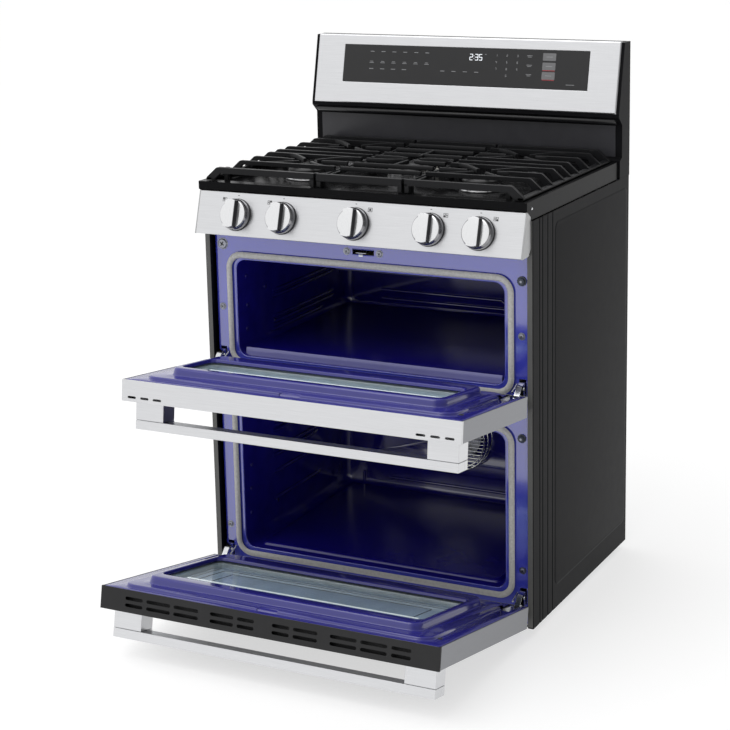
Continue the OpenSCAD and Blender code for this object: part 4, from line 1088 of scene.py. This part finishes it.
def guard_frame():
    """Stainless surround with softened edges and an opening for the glass."""
    half, length = box_mm("backguard_panel")[1].x, (GUARD_TOP - GUARD_LOW).length
    outer = (half, -length, 0, 2)
    glass = (302.6, -111, GLASS_TOP, 0.6)
    steps = [(outer, -2, -11.8), (outer, 0, -11.8), (outer, 0, -4), (outer, -0.5, -2), (outer, -1.6, -0.7),
             (outer, -3.4, 0), (outer, -4, 0), (glass, 1.8, 0), (glass, 1.2, 0), (glass, 0.3, -0.4),
             (glass, 0, -1.4), (glass, 0, -5), (glass, 2, -5), (glass, 3, -2), (outer, -4, -2),
             (outer, -2, -4)]
    rings = []
    for rect, d, depth in steps + steps[:1]:
        rings.append([Vector((u, v, depth)) for u, v in rounded(*grown(rect, d))])
    piece("guard_surround", [moved(loops(rings, False, False), GUARD)], "root", "stainless", STAINLESS,
          ["backguard_panel"], crease=40)


SEGMENTS = {"0": "abcdef", "1": "bc", "2": "abged", "3": "abgcd", "4": "fgbc", "5": "afgcd", "6": "afgedc",
            "7": "abc", "8": "abcdefg", "9": "abcdfg"}


def digit(char, x, y, h, line):
    """Seven-bar numeral."""
    w = h * 0.52
    bars = {"a": (0, h / 2, w, line), "g": (0, 0, w, line), "d": (0, -h / 2, w, line),
            "b": (w / 2, h / 4, line, h / 2), "c": (w / 2, -h / 4, line, h / 2),
            "f": (-w / 2, h / 4, line, h / 2), "e": (-w / 2, -h / 4, line, h / 2)}
    chosen = [bars[name] for name in SEGMENTS[char]]
    return [flat_mark(x + dx, y + dy, wide_by, high_by, GLASS_RISE) for dx, dy, wide_by, high_by in chosen]


def guard_marks():
    """Clock numerals, keypad and plain dashes in place of labels."""
    dashes, lit, keys, buttons, red = [], [], [], [], []

    def dash(x, down, w, h=1.2):
        dashes.append(flat_mark(x, GLASS_TOP - down, w, h, GLASS_RISE))

    for column in range(6):
        x = 28 * column - 230
        dash(x, 15, 10, 1.5)
        dash(x, 38, 8)
        dash(x, 41, 11)
        if column < 4:
            dash(x, 55, 11, 1.5)
            dash(x + 181, 55, 10, 1.5)
    for char, x in zip("235", (20, 33, 43)):
        lit += digit(char, x, GLASS_TOP - 21, 13, 1.5)
    for dy in (3, -3):
        lit.append(flat_mark(26.6, GLASS_TOP - 21 + dy, 1.4, 1.4, GLASS_RISE))
    dash(55, 14, 4)
    for k, char in enumerate("1234567890"):
        x = 82 + 25.5 * (k % 3) if k < 9 else 107.5
        keys += digit(char, x, GLASS_TOP - 15.5 - 15 * (k // 3), 4.2, 0.7)
    for row in range(3):
        down, middle = 21 * row, GLASS_TOP - 15.5 - 21 * row
        dash(162, 14 + down, 13)
        dash(162, 17 + down, 9)
        button = loops([[Vector((u + 209, v + middle, z)) for u, v in rounded(15.5, -8.4, 8.4, 1.6)]
                        for z in (GLASS_RISE, GLASS_RISE + 0.25)])
        buttons.append(button)
        keys.append(flat_mark(209, middle, 15, 1.1, GLASS_RISE + 0.25))
        if row:
            red.append(flat_mark(209, middle - 9.4, 29, 1.3, GLASS_RISE))
    dash(262, 76, 20)
    for name, parts, slot, look in (("labels", dashes, "cap_grey", PRINT), ("clock", lit, "lamp_glass", LIT),
                                    ("keypad", keys, "cap_grey", KEY_PRINT),
                                    ("buttons", buttons, "cap_grey", BUTTON),
                                    ("button_marks", red, "cap_grey", RED_MARK)):
        piece("guard_" + name, [moved(p, GUARD) for p in parts], "root", slot, look)


def vent():
    """Round-ended lip and louvred strip below the stainless surround."""
    low, high = box_mm("vent_trim")
    end = [(0, 0), (4, 0.6), (6, 4)]
    profile = [(r, low.x + x) for r, x in end] + [(r, high.x - x) for r, x in end[::-1]]
    rod = lathe(profile, (0, low.y + 6, high.z - 6), "X", 24)
    strip = wide(high.x, low.y + 6, high.y, low.z, low.z + 2.6)
    louvres = [box((x - 1.2, low.y + 7, low.z + 2.5), (x + 1.2, high.y - 1, low.z + 7))
               for x in range(-350, 351, 20)]
    piece("vent_lip", [rod, strip] + louvres, "root", "panel_black", VENT_BLACK, ["vent_trim"], bevel=0.3)


# ---- Cabinet sides ----

def side_skin(node):
    """Side panel: folded front edge, pressed lines near the front and a large raised field."""
    low, high = box_mm(node)
    x1 = max(high.x, -low.x)
    depth, z0, z1 = high.y, low.z, high.z
    skin, groove, fold = x1 - 0.7, 0.9, x1 - 13
    outer = [(0.35, fold), (0.35, skin - 1.4), (0.7, skin - 0.4), (1.6, skin)]
    for y in (36, 52, 80, 107):
        outer += [(y - 2.4, skin), (y - 1, skin - groove), (y + 1, skin - groove), (y + 2.4, skin)]
    outer += [(depth - 1, skin), (depth, skin - 1), (depth, x1 - 20)]
    inner = [(depth - 1.2, x1 - 20), (depth - 1.2, x1 - 2), (1.3, x1 - 2), (1.3, x1 - 11.8), (12, x1 - 11.8),
             (12, fold)]
    parts = [prism([(x, y) for y, x in outer + inner], z0, z1, axis="Z")]
    field_front, field_back = 122, depth - 14
    field = ((field_back - field_front) / 2, z0 + 52, z1 - 26, 16)
    middle = (field_front + field_back) / 2
    rings = []
    for d, rise in ((3, -0.4), (2, 0), (0.8, 0.25), (-0.8, 0.55), (-2.5, 0.7)):
        rings.append([Vector((skin + rise, middle + u, v)) for u, v in rounded(*grown(field, d), arc=8)])
    parts.append(loops(rings))
    # Front edge strip in a lighter grey than the panel's paint: painted sheen on the folded edge.
    edge = [prism([(x1 - 12.6, 0), (skin - 1.2, 0), (skin - 1.6, -0.3), (x1 - 12.6, -0.3)], z0 + 3, z1,
                  axis="Z")]
    if low.x < 0:
        parts, edge = [mirrored(p) for p in parts], [mirrored(p) for p in edge]
    piece(node + "_edge", edge, "root", "panel_black", EDGE_PAINTED_SHEEN)
    piece(node + "_skin", parts, "root", "panel_black", CHARCOAL, [node], crease=12)


# ---- The object ----

stand_camera()
studio()

side_skin("side_panel_left")
side_skin("side_panel_right")
keep("rear_panel", GALVANISED)
keep("base_pan", GALVANISED)
keep("levelling_feet", FOOT, 0.5)
keep("insulation", BLANKET)

frame_sheet()
gasket("upper_gasket", UPPER_MOUTH, ["oven_gaskets"])
gasket("lower_gasket", LOWER_MOUTH)
frame_fixings()
latch()
cavity("upper", UPPER_MOUTH, emboss=(291, 546, 728, 16),
       ribs=[([(-212, 577, 1), (96, 577, 1), (112, 563, 1)], 4.5), ([(-212, 556, 1), (104, 556, 1)], 4.5)],
       ledges=[(641, 180, 440), (628, 180, 440), (581, 180, 440), (569, 180, 440), (553, 167, 386)],
       studs=[(56, 632), (52, 580), (55, 697), (134, 657), (174, 571)])
lower_oven = cavity(
    "lower", LOWER_MOUTH, emboss=(286, 150, 416, 20),
    ribs=[([(-191, 118, 0), (112, 118, 0)], 4), ([(-260, 81, 0), (-260, 126, 0)], 4)],
    ledges=[(330, 163, 343), (318, 163, 343), (273, 163, 343), (261, 163, 343), (222, 163, 343),
            (160, 160, 352)],
    studs=[(50, 268), (46, 215), (43, 160), (159, 152), (52, 325)])
shaft_hole(lower_oven)
oven_floor()
fan_cage()
keep("fan_blade", ALUMINIUM, 0.4)
keep("fan_motor", GALVANISED)
keep("oven_burners", BROILER)
keep("oven_lamps", LAMP_GLASS, 0.5)
keep("temperature_probes", BRIGHT)

keep("cooktop", BLACK_ENAMEL, 0.9)
hob_bowl()
burners()
keep("igniters", CERAMIC)
side_grate("grate_left")
side_grate("grate_right")
middle_grate()

control_face()
end_caps()
control_marks()
for number, place_x in enumerate(KNOB_X, 1):
    knob(number, place_x)
    keep(f"valve_stem_{number}", BRASS)
keep("gas_valves", BRASS)
keep("gas_manifold", GALVANISED)
keep("gas_regulator", ALUMINIUM)

guard_frame()
keep("display_glass", BLACK_GLASS, 0.3)
guard_marks()
keep("backguard_housing", CHARCOAL, 0.8)
keep("backsplash", SPLASH, 0.3)
vent()
keep("control_board", BOARD)

hinge_links()
for each in (UPPER, LOWER):
    # The door skins get the stainless darkened as painted shade.
    keep(each.side + "_door_skin", STAINLESS_PAINTED_SHADE, 0.5)
    door_panel(each)
    door_seal(each)
    door_windows(each)
    handle(each)
    hinge_plates(each)
cap_plate(UPPER, [(292 + 30 * i, 15) for i in range(3)], [35], 2.3, "stainless", STAINLESS)
cap_plate(LOWER, [(39, 31), (93, 46), (175, 50), (239.5, 49), (297, 34)], [17, 31], 3.5, "cap_black",
          CAP_BLACK)

bpy.context.scene.view_settings.view_transform = "Standard"
